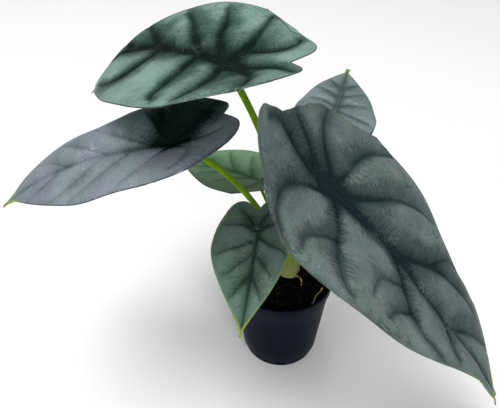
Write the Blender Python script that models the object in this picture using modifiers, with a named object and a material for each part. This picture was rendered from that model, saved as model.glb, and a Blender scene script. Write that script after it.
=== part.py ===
"""Potted alocasia: six veined leaves on separate stalks, one stem base, soil and a
thin grower's pot.

Metres, +Z up. The origin is the centre of the pot's underside, so the pot stands on Z = 0.
The front of the pot faces -Y. A leaf's heading is the compass angle of its tip in the XY
plane, counted from +X towards +Y. All angles are in degrees.
"""
import math

import bpy
import numpy as np
from mathutils import Vector

# ---- pot -------------------------------------------------------------------------------
POT_HEIGHT = 0.090
POT_RIM_RADIUS = 0.045
POT_RIM_DEPTH = 0.008           # height of the rim band
POT_RIM_OVERHANG = 0.0017       # rim band stands out from the wall by this
POT_BASE_RADIUS = 0.0355        # outside of the wall where it meets the foot
POT_FOOT_HEIGHT = 0.006
POT_FOOT_INSET = 0.0018         # foot is narrower than the wall above it
POT_WALL = 0.0013
POT_FLOOR = 0.0018
DRAIN_SLOTS = 6
DRAIN_SLOT_WIDTH = 0.008
DRAIN_SLOT_HEIGHT = 0.0036

# ---- soil ------------------------------------------------------------------------------
SOIL_DROP = 0.0095              # soil surface below the top of the rim
FIT_GAP = 0.0003                # clearance between pieces that touch

# ---- stem base -------------------------------------------------------------------------
STEM_X = 0.0063                 # the plant grows a little off the pot's centre
STEM_Y = 0.0130
STEM_FOOT_RADIUS = 0.0092
STEM_TOP_RADIUS = 0.0080
STEM_HEIGHT = 0.032             # above the soil
STEM_BURIED = 0.016             # rooted end, in the soil
STEM_BURIED_RADIUS = 0.0070
STALK_RING_SHARE = 0.62         # stalks stand on a ring this far out on the stem's top

# ---- leaves ----------------------------------------------------------------------------
BLADE_THICKNESS = 0.0010
BLADE_ROWS = 22
BLADE_COLUMNS = 10
LOBE_PLACE = 0.52               # a lobe's rearmost point, as a share of the half width
LOBE_SHOULDER = 0.55            # where a lobe's outer edge starts to round, of its length
RIPPLE_COUNT = 2.2              # waves of the margin along the blade
RIPPLE_OFFSET = 1.3             # radians by which the two margins are out of step
TAIL_HALF_WIDTH = 0.0007        # half width of the drip tip
TAIL_START = 0.96               # the drip tip starts this far along the blade
FRONT_POWER = 1.75              # shape of the outline from its widest place to the tip
REAR_SHARE = 0.72               # half width at the lobes' shoulders, of the greatest

# Each blade is set by where its stalk joins it, measured from the middle of the stem at
# soil level, and by how it is held and shaped from there. Lobes, widths and the notch are
# shares of the front length, and the front length runs from the stalk to the tip.
LEAVES = {
    "leaf_top_left": dict(
        joint=(-0.0552, 0.0018, 0.2105), heading=150, pitch=-4.5, roll=-19.5,
        length=0.162, tail=0.002, half_width=0.423, widest=0.05, taper=1.15,
        lobe_left=0.40, lobe_right=0.40, notch=0.80, side_left=1.09, side_right=1.065,
        droop=47, droop_power=1.29, swing=-6.3, twist=-21, rear_rise=-5, rear_swing=16,
        fold_left=11, fold_right=-8, fold_tip=0.87, fold_rear=1.97,
        curl_left=-10, curl_right=3, ripple=-0.0008, ripple_phase=8,
        colour=(0.16, 0.22, 0.19)),
    "leaf_left": dict(
        joint=(-0.0958, -0.0261, 0.1566), heading=179.5, pitch=-11.4, roll=-11.4,
        length=0.148, tail=0.010, half_width=0.268, widest=0.31, taper=1.06,
        lobe_left=0.335, lobe_right=0.355, notch=0.93, side_left=1.07, side_right=1.03,
        droop=29, droop_power=1.26, swing=-7.2, twist=-12.3, rear_rise=-22.8, rear_swing=38,
        fold_left=5.3, fold_right=50, fold_tip=0.20, fold_rear=2.67,
        curl_left=0, curl_right=74, ripple=0.0012, ripple_phase=-108,
        colour=(0.13, 0.15, 0.16)),
    "leaf_front_right": dict(
        joint=(0.0204, -0.0639, 0.1414), heading=-29.3, pitch=-37.5, roll=0,
        length=0.242, tail=0.006, half_width=0.295, widest=0.12, taper=1.33,
        lobe_left=0.25, lobe_right=0.36, notch=0.90, side_left=1.005, side_right=1.075,
        droop=33, droop_power=1.70, swing=27.5, twist=-10.3, rear_rise=-36, rear_swing=10.7,
        fold_left=34, fold_right=-0.5, fold_tip=0.83, fold_rear=0.32,
        curl_left=44, curl_right=-9, ripple=-0.0019, ripple_phase=63,
        colour=(0.11, 0.15, 0.16)),
    "leaf_back_right": dict(
        joint=(0.0398, 0.0671, 0.1334), heading=76.8, pitch=0.5, roll=2.5,
        length=0.102, tail=0.009, half_width=0.372, widest=0.05, taper=1.28,
        lobe_left=0.52, lobe_right=0.50, notch=0.52, side_left=1.02, side_right=1.03,
        droop=9.5, droop_power=0.60, swing=-2, twist=0.7, rear_rise=1.6, rear_swing=-1.7,
        fold_left=1, fold_right=-4.6, fold_tip=1.09, fold_rear=1.20,
        curl_left=27, curl_right=23, ripple=0.0011, ripple_phase=2,
        colour=(0.13, 0.18, 0.19)),
    "leaf_back_left": dict(
        joint=(-0.0280, 0.0450, 0.0725), heading=142.5, pitch=-4.5, roll=0.5,
        length=0.1025, tail=0.003, half_width=0.398, widest=0.146, taper=1.14,
        lobe_left=0.394, lobe_right=0.345, notch=0.67, side_left=1.03, side_right=1.01,
        droop=9.5, droop_power=1.07, swing=-1.2, twist=-4.5, rear_rise=-2.2, rear_swing=0.5,
        fold_left=17.7, fold_right=12.7, fold_tip=0.90, fold_rear=2.0,
        curl_left=13.6, curl_right=21.3, ripple=0.0005, ripple_phase=22,
        colour=(0.12, 0.18, 0.15)),
    "leaf_front": dict(
        joint=(-0.0311, -0.0466, 0.0860), heading=-97.2, pitch=-29, roll=9.5,
        length=0.0771, tail=0.0015, half_width=0.418, widest=0.134, taper=1.32,
        lobe_left=0.387, lobe_right=0.399, notch=0.72, side_left=0.87, side_right=1.10,
        droop=9.8, droop_power=1.08, swing=-7.6, twist=-0.4, rear_rise=9.5, rear_swing=4.2,
        fold_left=13.7, fold_right=9.2, fold_tip=1.16, fold_rear=0.60,
        curl_left=15.5, curl_right=17.4, ripple=-0.0004, ripple_phase=-11,
        colour=(0.06, 0.10, 0.08)),
}

# A stalk stands on the stem's top at a compass angle and ends under its blade. Its base is a
# share of the stem's top ring. It leaves the stem along lean and meets the blade along
# arrive, and rise and reach say how long it keeps to each of these directions.
STALKS = {
    "petiole_top_left": dict(
        leaf="leaf_top_left", angle=78, base_share=0.42, radius=0.0021,
        lean=(-0.15, -0.16, 1.0), rise=0.070, arrive=(-0.42, -0.05, 1.0), reach=0.040),
    "petiole_left": dict(
        leaf="leaf_left", angle=186, base_share=0.50, radius=0.0025,
        lean=(-0.43, -0.08, 1.0), rise=0.076, arrive=(-1.0, -0.40, 0.36), reach=0.034),
    "petiole_front_right": dict(
        leaf="leaf_front_right", angle=-58, base_share=0.54, radius=0.0027,
        lean=(0.05, -0.25, 1.0), rise=0.040, arrive=(0.35, -0.35, 1.0), reach=0.030),
    "petiole_back_right": dict(
        leaf="leaf_back_right", angle=22, base_share=0.38, radius=0.0018,
        lean=(0.20, 0.30, 1.0), rise=0.045, arrive=(0.30, 0.60, 1.0), reach=0.025),
    "petiole_back_left": dict(
        leaf="leaf_back_left", angle=125, base_share=0.28, radius=0.0014,
        lean=(-0.35, 0.20, 1.0), rise=0.022, arrive=(-0.40, 0.80, 1.0), reach=0.014),
    "petiole_front": dict(
        leaf="leaf_front", angle=-120, base_share=0.32, radius=0.0016,
        lean=(-0.15, -0.35, 1.0), rise=0.020, arrive=(-0.40, -0.75, 1.0), reach=0.014),
}
STALK_POINTS = 16
STALK_SIDES_RESOLUTION = 3
STALK_SEAT = 0.0015             # straight run square to the stem's top

# ---- roots and grains on the soil -------------------------------------------------------
ROOT_RADIUS = 0.0009
RIM_ROOT_RADIUS = 0.0008
RIM_ROOT_INSET = 0.0045         # from the pot's inner wall
RIM_ROOT_ANGLES = (-20, -49)    # its two ends, round the pot
RIM_ROOT_LIFT = 0.0035          # its raised end above its low end
GRAIN_SIZE = 0.0013
CHIP_LENGTH = 0.0035

POT_COLOUR = (0.012, 0.014, 0.030)
SOIL_COLOUR = (0.010, 0.008, 0.007)
STEM_COLOUR = (0.50, 0.55, 0.22)
STALK_COLOUR = (0.16, 0.26, 0.03)
ROOT_COLOUR = (0.45, 0.38, 0.20)
GRAIN_COLOUR = (0.70, 0.70, 0.66)
CHIP_COLOUR = (0.12, 0.08, 0.05)

# ---- sizes that follow from the ones above ----------------------------------------------
SOIL_TOP = POT_HEIGHT - SOIL_DROP
STEM_TOP = SOIL_TOP + STEM_HEIGHT
STALK_RING = STEM_TOP_RADIUS * STALK_RING_SHARE
RIM_WALL_TOP = POT_HEIGHT - POT_RIM_DEPTH
WALL_TOP_RADIUS = POT_RIM_RADIUS - POT_RIM_OVERHANG
FOOT_RADIUS = POT_BASE_RADIUS - POT_FOOT_INSET


def clear_scene():
    for obj in list(bpy.data.objects):
        bpy.data.objects.remove(obj, do_unlink=True)


def collection(name):
    made = bpy.data.collections.new(name)
    bpy.context.scene.collection.children.link(made)
    return made


def material(name, colour, roughness, metallic=0.0):
    made = bpy.data.materials.new(name)
    made.use_nodes = True
    shader = made.node_tree.nodes["Principled BSDF"]
    shader.inputs["Base Color"].default_value = (*colour, 1.0)
    shader.inputs["Roughness"].default_value = roughness
    shader.inputs["Metallic"].default_value = metallic
    return made


def add_piece(obj, name, home, colour, roughness=0.5):
    """Name an object, give it its own material and put it in its collection."""
    obj.name = name
    obj.data.name = name
    obj.data.materials.clear()
    obj.data.materials.append(material(name, colour, roughness))
    for old in list(obj.users_collection):
        old.objects.unlink(obj)
    home.objects.link(obj)
    return obj


def smooth(obj, angle=40):
    obj.data.shade_smooth()
    obj.data.set_sharp_from_angle(angle=math.radians(angle))


# ---- turned pieces ----------------------------------------------------------------------
def turned(name, profile, home, colour, roughness, steps=48):
    """Turn (radius, height) points, which run down the outer side, into a closed solid."""
    mesh = bpy.data.meshes.new(name)
    points = [(radius, 0.0, height) for radius, height in profile]
    edges = [(i, i + 1) for i in range(len(points) - 1)]
    mesh.from_pydata(points, edges, [])
    obj = bpy.data.objects.new(name, mesh)
    bpy.context.scene.collection.objects.link(obj)
    screw = obj.modifiers.new("turn", "SCREW")
    screw.axis = "Z"
    screw.steps = steps
    screw.render_steps = steps
    screw.use_merge_vertices = True
    screw.merge_threshold = 0.00001
    return add_piece(obj, name, home, colour, roughness)


def wall_radius(height):
    """Outer radius of the pot's wall between its foot and its rim band."""
    share = (height - POT_FOOT_HEIGHT) / (RIM_WALL_TOP - POT_FOOT_HEIGHT)
    return POT_BASE_RADIUS + (WALL_TOP_RADIUS - POT_BASE_RADIUS) * share


def rim_round():
    """Half circle over the rim's top, from its inner to its outer side."""
    radius = POT_WALL / 2
    centre = POT_RIM_RADIUS - radius
    turns = [math.radians(180 - 45 * i) for i in range(5)]
    return [(centre + radius * math.cos(a), POT_HEIGHT - radius + radius * math.sin(a))
            for a in turns]


def make_pot(home, cutters):
    inside_step = POT_FOOT_HEIGHT + POT_WALL
    profile = [
        (0.0, POT_FLOOR),
        (FOOT_RADIUS - POT_WALL, POT_FLOOR),
        (FOOT_RADIUS - POT_WALL, inside_step),
        (wall_radius(inside_step) - POT_WALL, inside_step),
        (WALL_TOP_RADIUS - POT_WALL, RIM_WALL_TOP),
        (POT_RIM_RADIUS - POT_WALL, RIM_WALL_TOP + POT_WALL),
        *rim_round(),
        (POT_RIM_RADIUS, RIM_WALL_TOP),
        (WALL_TOP_RADIUS, RIM_WALL_TOP),
        (POT_BASE_RADIUS, POT_FOOT_HEIGHT),
        (FOOT_RADIUS, POT_FOOT_HEIGHT),
        (FOOT_RADIUS, 0.0),
        (0.0, 0.0),
    ]
    pot = turned("pot", profile, home, POT_COLOUR, 0.35)
    for number in range(DRAIN_SLOTS):
        cut_drain_slot(pot, number, cutters)
    smooth(pot, 30)
    return pot


def cut_drain_slot(pot, number, cutters):
    """Cut one slot through the foot, just above the pot's floor."""
    angle = math.tau * (number + 0.5) / DRAIN_SLOTS
    bpy.ops.mesh.primitive_cube_add(size=1.0)
    cutter = bpy.context.object
    cutter.name = f"drain_cutter_{number}"
    cutter.scale = (4 * POT_WALL, DRAIN_SLOT_WIDTH, DRAIN_SLOT_HEIGHT)
    cutter.rotation_euler = (0.0, 0.0, angle)
    height = POT_FLOOR + DRAIN_SLOT_HEIGHT / 2
    reach = FOOT_RADIUS - POT_WALL / 2
    cutter.location = (reach * math.cos(angle), reach * math.sin(angle), height)
    cutter.hide_render = True
    cutter.display_type = "WIRE"
    for old in list(cutter.users_collection):
        old.objects.unlink(cutter)
    cutters.objects.link(cutter)
    cut = pot.modifiers.new(cutter.name, "BOOLEAN")
    cut.operation = "DIFFERENCE"
    cut.solver = "EXACT"
    cut.object = cutter


def make_soil(home, cutters):
    """Fill the pot to below its rim and leave a socket for the stem."""
    foot = FOOT_RADIUS - POT_WALL - FIT_GAP
    step = POT_FOOT_HEIGHT + POT_WALL + FIT_GAP
    profile = [
        (0.0, SOIL_TOP),
        (wall_radius(SOIL_TOP) - POT_WALL - FIT_GAP, SOIL_TOP),
        (wall_radius(step) - POT_WALL - FIT_GAP, step),
        (foot, step),
        (foot, POT_FLOOR + FIT_GAP),
        (0.0, POT_FLOOR + FIT_GAP),
    ]
    soil = turned("soil", profile, home, SOIL_COLOUR, 0.95)
    socket = [
        (0.0, SOIL_TOP + SOIL_DROP),
        (STEM_FOOT_RADIUS + FIT_GAP, SOIL_TOP + SOIL_DROP),
        (STEM_FOOT_RADIUS + FIT_GAP, SOIL_TOP),
        (STEM_BURIED_RADIUS + FIT_GAP, SOIL_TOP - STEM_BURIED - FIT_GAP),
        (0.0, SOIL_TOP - STEM_BURIED - FIT_GAP),
    ]
    cutter = turned("socket_cutter", socket, cutters, SOIL_COLOUR, 0.9, steps=28)
    cutter.location = (STEM_X, STEM_Y, 0.0)
    cutter.hide_render = True
    cutter.display_type = "WIRE"
    cut = soil.modifiers.new("stem socket", "BOOLEAN")
    cut.operation = "DIFFERENCE"
    cut.solver = "EXACT"
    cut.object = cutter
    return soil


def make_stem(home):
    """Swollen stem base that the stalks grow from, rooted in the soil's socket."""
    belly = [(0.30, 1.03), (0.65, 0.97)]
    above = []
    for share, fullness in belly:
        radius = STEM_FOOT_RADIUS + (STEM_TOP_RADIUS - STEM_FOOT_RADIUS) * share
        above.append((radius * fullness, SOIL_TOP + STEM_HEIGHT * share))
    profile = [
        (0.0, STEM_TOP),
        (STEM_TOP_RADIUS, STEM_TOP),
        *reversed(above),
        (STEM_FOOT_RADIUS, SOIL_TOP),
        (STEM_BURIED_RADIUS, SOIL_TOP - STEM_BURIED),
        (0.0, SOIL_TOP - STEM_BURIED),
    ]
    stem = turned("stem_base", profile, home, STEM_COLOUR, 0.45, steps=28)
    stem.location = (STEM_X, STEM_Y, 0.0)
    smooth(stem, 50)
    return stem


# ---- leaf blades ------------------------------------------------------------------------
def by_side(across, left, right):
    return np.where(across < 0, left, right)


def rear_reach(across, leaf):
    """How far behind the stalk the rear edge lies, at a place -1..1 across the blade."""
    lobe = by_side(across, leaf["lobe_left"], leaf["lobe_right"])
    shoulder = LOBE_SHOULDER * lobe
    out = np.abs(across)
    turn = np.clip((out - LOBE_PLACE) / (1 - LOBE_PLACE), 0, 1)
    outer = shoulder + (lobe - shoulder) * np.sqrt(1 - turn ** 2)
    notch = leaf["notch"] * (leaf["lobe_left"] + leaf["lobe_right"]) / 2
    rise = np.sin(np.pi / 2 * np.clip(out / LOBE_PLACE, 0, 1))
    inner = notch + (lobe - notch) * rise
    return np.where(out > LOBE_PLACE, outer, inner) * leaf["length"]


def half_width(along, leaf):
    """Half width of the outline at a distance along the midrib, less the drip tip."""
    length = leaf["length"]
    widest = leaf["widest"] * length
    rear = LOBE_SHOULDER * (leaf["lobe_left"] + leaf["lobe_right"]) / 2 * length
    ahead = np.clip((along - widest) / (length - widest), 0, 1)
    behind = np.clip((widest - along) / (widest + rear), 0, 1)
    front_shape = (1 - ahead ** FRONT_POWER) ** leaf["taper"]
    rear_shape = 1 - (1 - REAR_SHARE) * behind ** 2
    shape = np.where(along > widest, front_shape, rear_shape)
    return shape * leaf["half_width"] * length


def flat_place(station, across, leaf):
    """Flat pattern of the blade: distances along and across its midrib."""
    length = leaf["length"]
    reach = rear_reach(across, leaf)
    along = -reach * (1 - station) + length * station
    lobe = by_side(across, leaf["lobe_left"], leaf["lobe_right"])
    edge = -LOBE_SHOULDER * lobe * length * (1 - station) + length * station
    side = by_side(across, leaf["side_left"], leaf["side_right"])
    width = np.maximum(half_width(edge, leaf) * side, TAIL_HALF_WIDTH)
    along = along + leaf["tail"] * np.clip((station - TAIL_START) / (1 - TAIL_START), 0, 1)
    return along, across * width


def spine(leaf):
    """Stations along the midrib, with its places, normals and sideways directions."""
    length = leaf["length"]
    rear = (leaf["lobe_left"] + leaf["lobe_right"]) / 2 * length
    run = np.linspace(-1.3 * rear, length + 1.2 * leaf["tail"], 200)
    ahead = np.clip(run / length, 0, None)
    behind = np.clip(-run / rear, 0, None)
    pitch = leaf["pitch"] - leaf["droop"] * ahead ** leaf["droop_power"]
    pitch = np.radians(pitch + leaf["rear_rise"] * behind)
    turn = leaf["heading"] + leaf["swing"] * ahead + leaf["rear_swing"] * behind
    turn = np.radians(turn)
    forward = np.stack([np.cos(pitch) * np.cos(turn), np.cos(pitch) * np.sin(turn),
                        np.sin(pitch)], axis=1)
    normal = np.stack([-np.sin(pitch) * np.cos(turn), -np.sin(pitch) * np.sin(turn),
                       np.cos(pitch)], axis=1)
    side = np.cross(forward, normal)
    behind_share = rear / length * behind
    roll = np.radians(leaf["roll"] + leaf["twist"] * (ahead - behind_share))[:, None]
    rolled = normal * np.cos(roll) + side * np.sin(roll)
    side = side * np.cos(roll) - normal * np.sin(roll)
    steps = (forward[1:] + forward[:-1]) / 2 * (run[1] - run[0])
    place = np.concatenate([np.zeros((1, 3)), np.cumsum(steps, axis=0)])
    place -= at_station(run, place, 0.0)
    place += np.array(leaf["joint"]) + np.array([STEM_X, STEM_Y, SOIL_TOP])
    return run, place, rolled, side


def at_station(run, values, where):
    columns = [np.interp(where, run, values[:, axis]) for axis in range(3)]
    return np.stack(columns, axis=-1)


def blade_surface(along, across, leaf):
    """Bend the flat pattern: droop and twist along the midrib, fold and curl across it."""
    run, place, normal, side = spine(leaf)
    length = leaf["length"]
    rear = (leaf["lobe_left"] + leaf["lobe_right"]) / 2 * length
    width = leaf["half_width"] * length
    ahead = np.clip(along / length, 0, 1)
    behind = np.clip(-along / rear, 0, 1.2)
    opening = np.where(along >= 0, 1 + (leaf["fold_tip"] - 1) * ahead,
                       1 + (leaf["fold_rear"] - 1) * behind)
    fold = np.radians(by_side(across, leaf["fold_left"], leaf["fold_right"])) * opening
    curl = np.radians(by_side(across, leaf["curl_left"], leaf["curl_right"])) / width
    curl = np.where(np.abs(curl) < 1e-4, 1e-4, curl)
    out = np.abs(across)
    sideways = (np.sin(fold) - np.sin(fold - curl * out)) / curl
    upward = (np.cos(fold - curl * out) - np.cos(fold)) / curl
    wave = 2 * np.pi * RIPPLE_COUNT * along / length + np.radians(leaf["ripple_phase"])
    wave = wave + by_side(across, 0.0, RIPPLE_OFFSET)
    upward = upward + leaf["ripple"] * (out / width) ** 2 * np.sin(wave)
    middle = at_station(run, place, along)
    return (middle + at_station(run, side, along) * (np.sign(across) * sideways)[:, None]
            + at_station(run, normal, along) * upward[:, None])


def make_blade(name, leaf, home):
    """Bend a plain grid into the leaf's form and give it its thickness."""
    bpy.ops.mesh.primitive_grid_add(x_subdivisions=BLADE_COLUMNS, y_subdivisions=BLADE_ROWS,
                                    size=2.0)
    blade = bpy.context.object
    mesh = blade.data
    grid = np.array([corner.co[:2] for corner in mesh.vertices])
    station = (grid[:, 1] + 1) / 2
    along, across = flat_place(station, grid[:, 0], leaf)
    for corner, point in zip(mesh.vertices, blade_surface(along, across, leaf)):
        corner.co = point
    mesh.update()
    add_piece(blade, name, home, leaf["colour"], 0.5)
    thick = blade.modifiers.new("thickness", "SOLIDIFY")
    thick.thickness = BLADE_THICKNESS
    thick.offset = 0.0
    smooth(blade, 60)
    return blade


# ---- stalks -----------------------------------------------------------------------------
def blade_seat(leaf, radius, arrive):
    """Where a stalk that arrives along a direction ends, just clear of its blade."""
    run, place, normal, _side = spine(leaf)
    joint = Vector(at_station(run, place, 0.0))
    up = Vector(at_station(run, normal, 0.0)).normalized()
    lowest_fold = min(leaf["fold_left"], leaf["fold_right"], 0.0)
    tilt = arrive.angle(up) + math.radians(-lowest_fold)
    return joint - up * (BLADE_THICKNESS / 2 + FIT_GAP + radius * math.sin(tilt))


def bezier(ends, handles, count):
    """Evenly stepped places on a cubic curve."""
    places = []
    for i in range(count):
        t = i / (count - 1)
        s = 1 - t
        places.append(ends[0] * s ** 3 + handles[0] * 3 * s * s * t
                      + handles[1] * 3 * s * t * t + ends[1] * t ** 3)
    return places


def tube(name, places, radii, home, colour, roughness, resolution):
    """Round tube along the given places, closed at both ends."""
    curve = bpy.data.curves.new(name, "CURVE")
    curve.dimensions = "3D"
    curve.bevel_depth = 1.0
    curve.bevel_resolution = resolution
    curve.use_fill_caps = True
    line = curve.splines.new("POLY")
    line.points.add(len(places) - 1)
    for point, place, radius in zip(line.points, places, radii):
        point.co = (*place, 1.0)
        point.radius = radius
    obj = bpy.data.objects.new(name, curve)
    bpy.context.scene.collection.objects.link(obj)
    return add_piece(obj, name, home, colour, roughness)


def make_stalk(name, stalk, home):
    """Grow a stalk from the stem's top to the underside of its blade."""
    leaf = LEAVES[stalk["leaf"]]
    angle = math.radians(stalk["angle"])
    base = Vector((STEM_X + STALK_RING * math.cos(angle),
                   STEM_Y + STALK_RING * math.sin(angle), STEM_TOP + FIT_GAP))
    arrive = Vector(stalk["arrive"]).normalized()
    seat = blade_seat(leaf, stalk["radius"], arrive)
    start = base + Vector((0.0, 0.0, STALK_SEAT))
    lean = Vector(stalk["lean"]).normalized()
    handles = (start + lean * stalk["rise"], seat - arrive * stalk["reach"])
    places = [base, *bezier((start, seat), handles, STALK_POINTS)]
    base_radius = stalk["base_share"] * STALK_RING
    radii = [base_radius]
    for i in range(STALK_POINTS):
        share = min(1.0, 4 * i / (STALK_POINTS - 1))
        radii.append(base_radius + (stalk["radius"] - base_radius) * share)
    return tube(name, places, radii, home, STALK_COLOUR, 0.4, STALK_SIDES_RESOLUTION)


# ---- roots and grains -------------------------------------------------------------------
def make_stem_root(home):
    """Surface root that leaves the stem's foot and lies on the soil."""
    height = SOIL_TOP + ROOT_RADIUS + FIT_GAP
    start_out = STEM_FOOT_RADIUS * 1.03 + ROOT_RADIUS + FIT_GAP
    places = []
    radii = []
    for i in range(9):
        share = i / 8
        angle = math.radians(-62 + 14 * math.sin(math.pi * share))
        out = start_out + 0.012 * share
        arch = 0.0025 * math.sin(math.pi * min(1.0, share * 1.4)) * (share < 0.72)
        places.append(Vector((STEM_X + out * math.cos(angle), STEM_Y + out * math.sin(angle),
                              height + arch)))
        radii.append(ROOT_RADIUS * (1 - 0.35 * share))
    return tube("stem_root", places, radii, home, ROOT_COLOUR, 0.6, 2)


def make_rim_root(home):
    """Dry root that lies on the soil and leans towards the pot's wall."""
    wall = wall_radius(SOIL_TOP) - POT_WALL - RIM_ROOT_INSET
    high, low = (math.radians(a) for a in RIM_ROOT_ANGLES)
    base = SOIL_TOP + RIM_ROOT_RADIUS + FIT_GAP
    first = Vector((wall * math.cos(high), wall * math.sin(high), base + RIM_ROOT_LIFT))
    last = Vector((wall * math.cos(low), wall * math.sin(low), base))
    places = []
    for i in range(7):
        share = i / 6
        bow = Vector((0.0, 0.0, 0.0008)) * math.sin(math.pi * share)
        places.append(first.lerp(last, share) + bow)
    radii = [RIM_ROOT_RADIUS] * len(places)
    return tube("rim_root", places, radii, home, ROOT_COLOUR, 0.6, 2)


def lump(name, size, place, home, colour, roughness):
    """Small rounded grain, flattened to the given half sizes."""
    bpy.ops.mesh.primitive_ico_sphere_add(subdivisions=2, radius=1.0)
    grain = bpy.context.object
    for corner in grain.data.vertices:
        bump = 1 + 0.12 * math.sin(5 * corner.co.x + 3 * corner.co.y)
        corner.co = Vector((corner.co.x * size[0], corner.co.y * size[1],
                            corner.co.z * size[2])) * bump
    grain.location = place
    return add_piece(grain, name, home, colour, roughness)


def make_grains(home):
    lift = 1.12
    grain_place = (-0.010, -0.030, SOIL_TOP + FIT_GAP + GRAIN_SIZE * 0.8 * lift)
    lump("perlite_grain", (GRAIN_SIZE, GRAIN_SIZE, GRAIN_SIZE * 0.8), grain_place, home,
         GRAIN_COLOUR, 0.9)
    chip = (CHIP_LENGTH, CHIP_LENGTH * 0.55, CHIP_LENGTH * 0.25)
    chip_place = (0.027, 0.001, SOIL_TOP + FIT_GAP + chip[2] * lift)
    lump("bark_chip", chip, chip_place, home, CHIP_COLOUR, 0.9)


def main():
    clear_scene()
    home = collection("potted_alocasia")
    cutters = collection("cutters")
    make_pot(home, cutters)
    make_soil(home, cutters)
    make_stem(home)
    for name, leaf in LEAVES.items():
        make_blade(name, leaf, home)
    for name, stalk in STALKS.items():
        make_stalk(name, stalk, home)
    make_stem_root(home)
    make_rim_root(home)
    make_grains(home)


main()
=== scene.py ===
"""Potted alocasia: how it looks, built round the fixed frame.

Metres, +Z up. The pot stands on Z = 0 at the origin and its front faces -Y. A leaf's heading
is the compass angle of its tip in the XY plane, counted from +X towards +Y. Angles are in
degrees. A blade is shaped in its flat pattern, in shares of its length, and then bent.
"""

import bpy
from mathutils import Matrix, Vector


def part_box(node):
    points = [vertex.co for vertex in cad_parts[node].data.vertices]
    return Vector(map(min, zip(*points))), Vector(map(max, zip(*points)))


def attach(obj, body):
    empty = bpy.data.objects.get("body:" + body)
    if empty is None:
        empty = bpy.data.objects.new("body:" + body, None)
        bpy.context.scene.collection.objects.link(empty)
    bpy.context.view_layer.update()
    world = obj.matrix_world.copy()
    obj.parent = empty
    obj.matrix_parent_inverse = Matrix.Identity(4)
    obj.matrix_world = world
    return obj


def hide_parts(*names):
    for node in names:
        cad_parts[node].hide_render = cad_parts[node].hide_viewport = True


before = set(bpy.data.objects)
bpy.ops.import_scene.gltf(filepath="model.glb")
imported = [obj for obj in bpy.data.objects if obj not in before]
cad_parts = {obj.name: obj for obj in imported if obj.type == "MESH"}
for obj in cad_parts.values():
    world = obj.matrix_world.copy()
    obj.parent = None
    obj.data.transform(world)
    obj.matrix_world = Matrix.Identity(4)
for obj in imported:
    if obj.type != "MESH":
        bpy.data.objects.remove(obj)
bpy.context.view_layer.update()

import math

import bpy
import numpy as np
from mathutils import Vector, noise

bl_info = {
    "name": "Potted alocasia",
    "version": (1, 0, 0),
    "blender": (4, 5, 0),
    "location": "3D View > Sidebar > Alocasia",
    "description": "Builds a potted alocasia's leaves, stalks, stem, soil and pot",
    "category": "Add Mesh",
}
BODY = "root"
MM = 0.001
SMOOTH_ANGLE = math.radians(50)     # edges flatter than this are shaded smooth
SEAM_GAP = 0.001 * MM           # corners closer than this are joined
TINY = 1e-9                     # keeps a share from being divided by nothing
GROOVE_POWER = 6                # how sharply the groove of a tube ends at its sides

# ---- places that come from the frame ---------------------------------------------------
SOIL_LOW, SOIL_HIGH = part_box("soil")
STEM_LOW, STEM_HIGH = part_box("stem_base")
POT_LOW, POT_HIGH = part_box("pot")
SOIL_TOP = SOIL_HIGH[2]
STEM_TOP = STEM_HIGH[2]
STEM_X = (STEM_LOW[0] + STEM_HIGH[0]) / 2
STEM_Y = (STEM_LOW[1] + STEM_HIGH[1]) / 2
STEM_RADIUS = (STEM_HIGH[0] - STEM_LOW[0]) / 2
POT_RADIUS = (POT_HIGH[0] - POT_LOW[0]) / 2
POT_HEIGHT = POT_HIGH[2]

# ---- how the flat outline is drawn ------------------------------------------------------
LOBE_PLACE = 0.52               # a lobe's rearmost point, as a share of the half width
LOBE_SHOULDER = 0.55            # where a lobe's outer edge starts to round
RIPPLE_COUNT = 2.2              # waves of the margin along the blade
RIPPLE_OFFSET = 1.3             # radians by which the two margins are out of step
TAIL_START = 0.96               # the drip tip starts this far along the blade
FRONT_POWER = 1.75              # shape of the outline from its widest place to the tip
REAR_SHARE = 0.72               # half width at the lobes' shoulders, of the greatest
CAD_SKIN = 0.6 * MM             # how much a frame blade's thickness adds to its box
BLADE_CHECKS = (23, 11)         # stations and places across at which a blade is measured
SPINE_STEPS = 200               # stations along a midrib
SPINE_PAST = (1.3, 1.2)         # how far a midrib is drawn past the lobes and past the tip
REAR_FOLD_END = 1.2             # the fold stops changing this many lobe lengths behind
FLATTEST_CURL = 1e-4            # a flatter curl is drawn as this one

# ---- how veins and pillows are shaped ---------------------------------------------------
RUN_BLUR = 3.5 * MM             # how far a bend in a vein is smoothed out beside it
RUN_BOW = 12                    # how much the creases beside a vein arch, per metre
VEIN_START = 0.6                # a vein's width where it starts, of its widest
VEIN_WIDEST = 0.35              # where along a vein it is widest
VEIN_FADE = 0.38                # how much shallower a vein is at its end
VALLEY_LEAN = 0.2               # how much a valley leans towards the blade's rear
SLOPE_LEAN = 0.50               # how much its slope leans that way
SLOPE_REACH = 4.0               # width of a vein's slope, of the vein's half width
SLOPE_DEPTH = 0.85              # depth of a vein's slope, of the vein's depth
CORE_FADE = 0.7                 # how much fainter a vein's core is at its end
CORE_WIDTH = 0.5                # width of a vein's core, of its half width
SHADE_PATCH_POWER = 1.4               # how sharply a patch of painted shade ends
VALLEY_SHARE, SLOPE_SHARE = 0.35, 0.65      # what valleys and slopes take off a pillow
PILLOW_LEVEL = 0.62             # pillow height that lies in the plain form
MARGIN_REACH = 12 * MM          # the relief grows over this distance from the margin
MARGIN_RELIEF = 0.20            # relief at the margin, of the full relief
CREASE_PLACE, CREASE_WIDTH = 3.4 * MM, 1.3 * MM     # the crease that follows the margin
CREASE_DEPTH = 0.05             # its depth, of the full relief
RIB_STEPS = 50                  # steps in which the thickness changes towards a rib
OUTLINE_MARKS = (160, 120)      # marks along a margin, and across the rear and the tip
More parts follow.
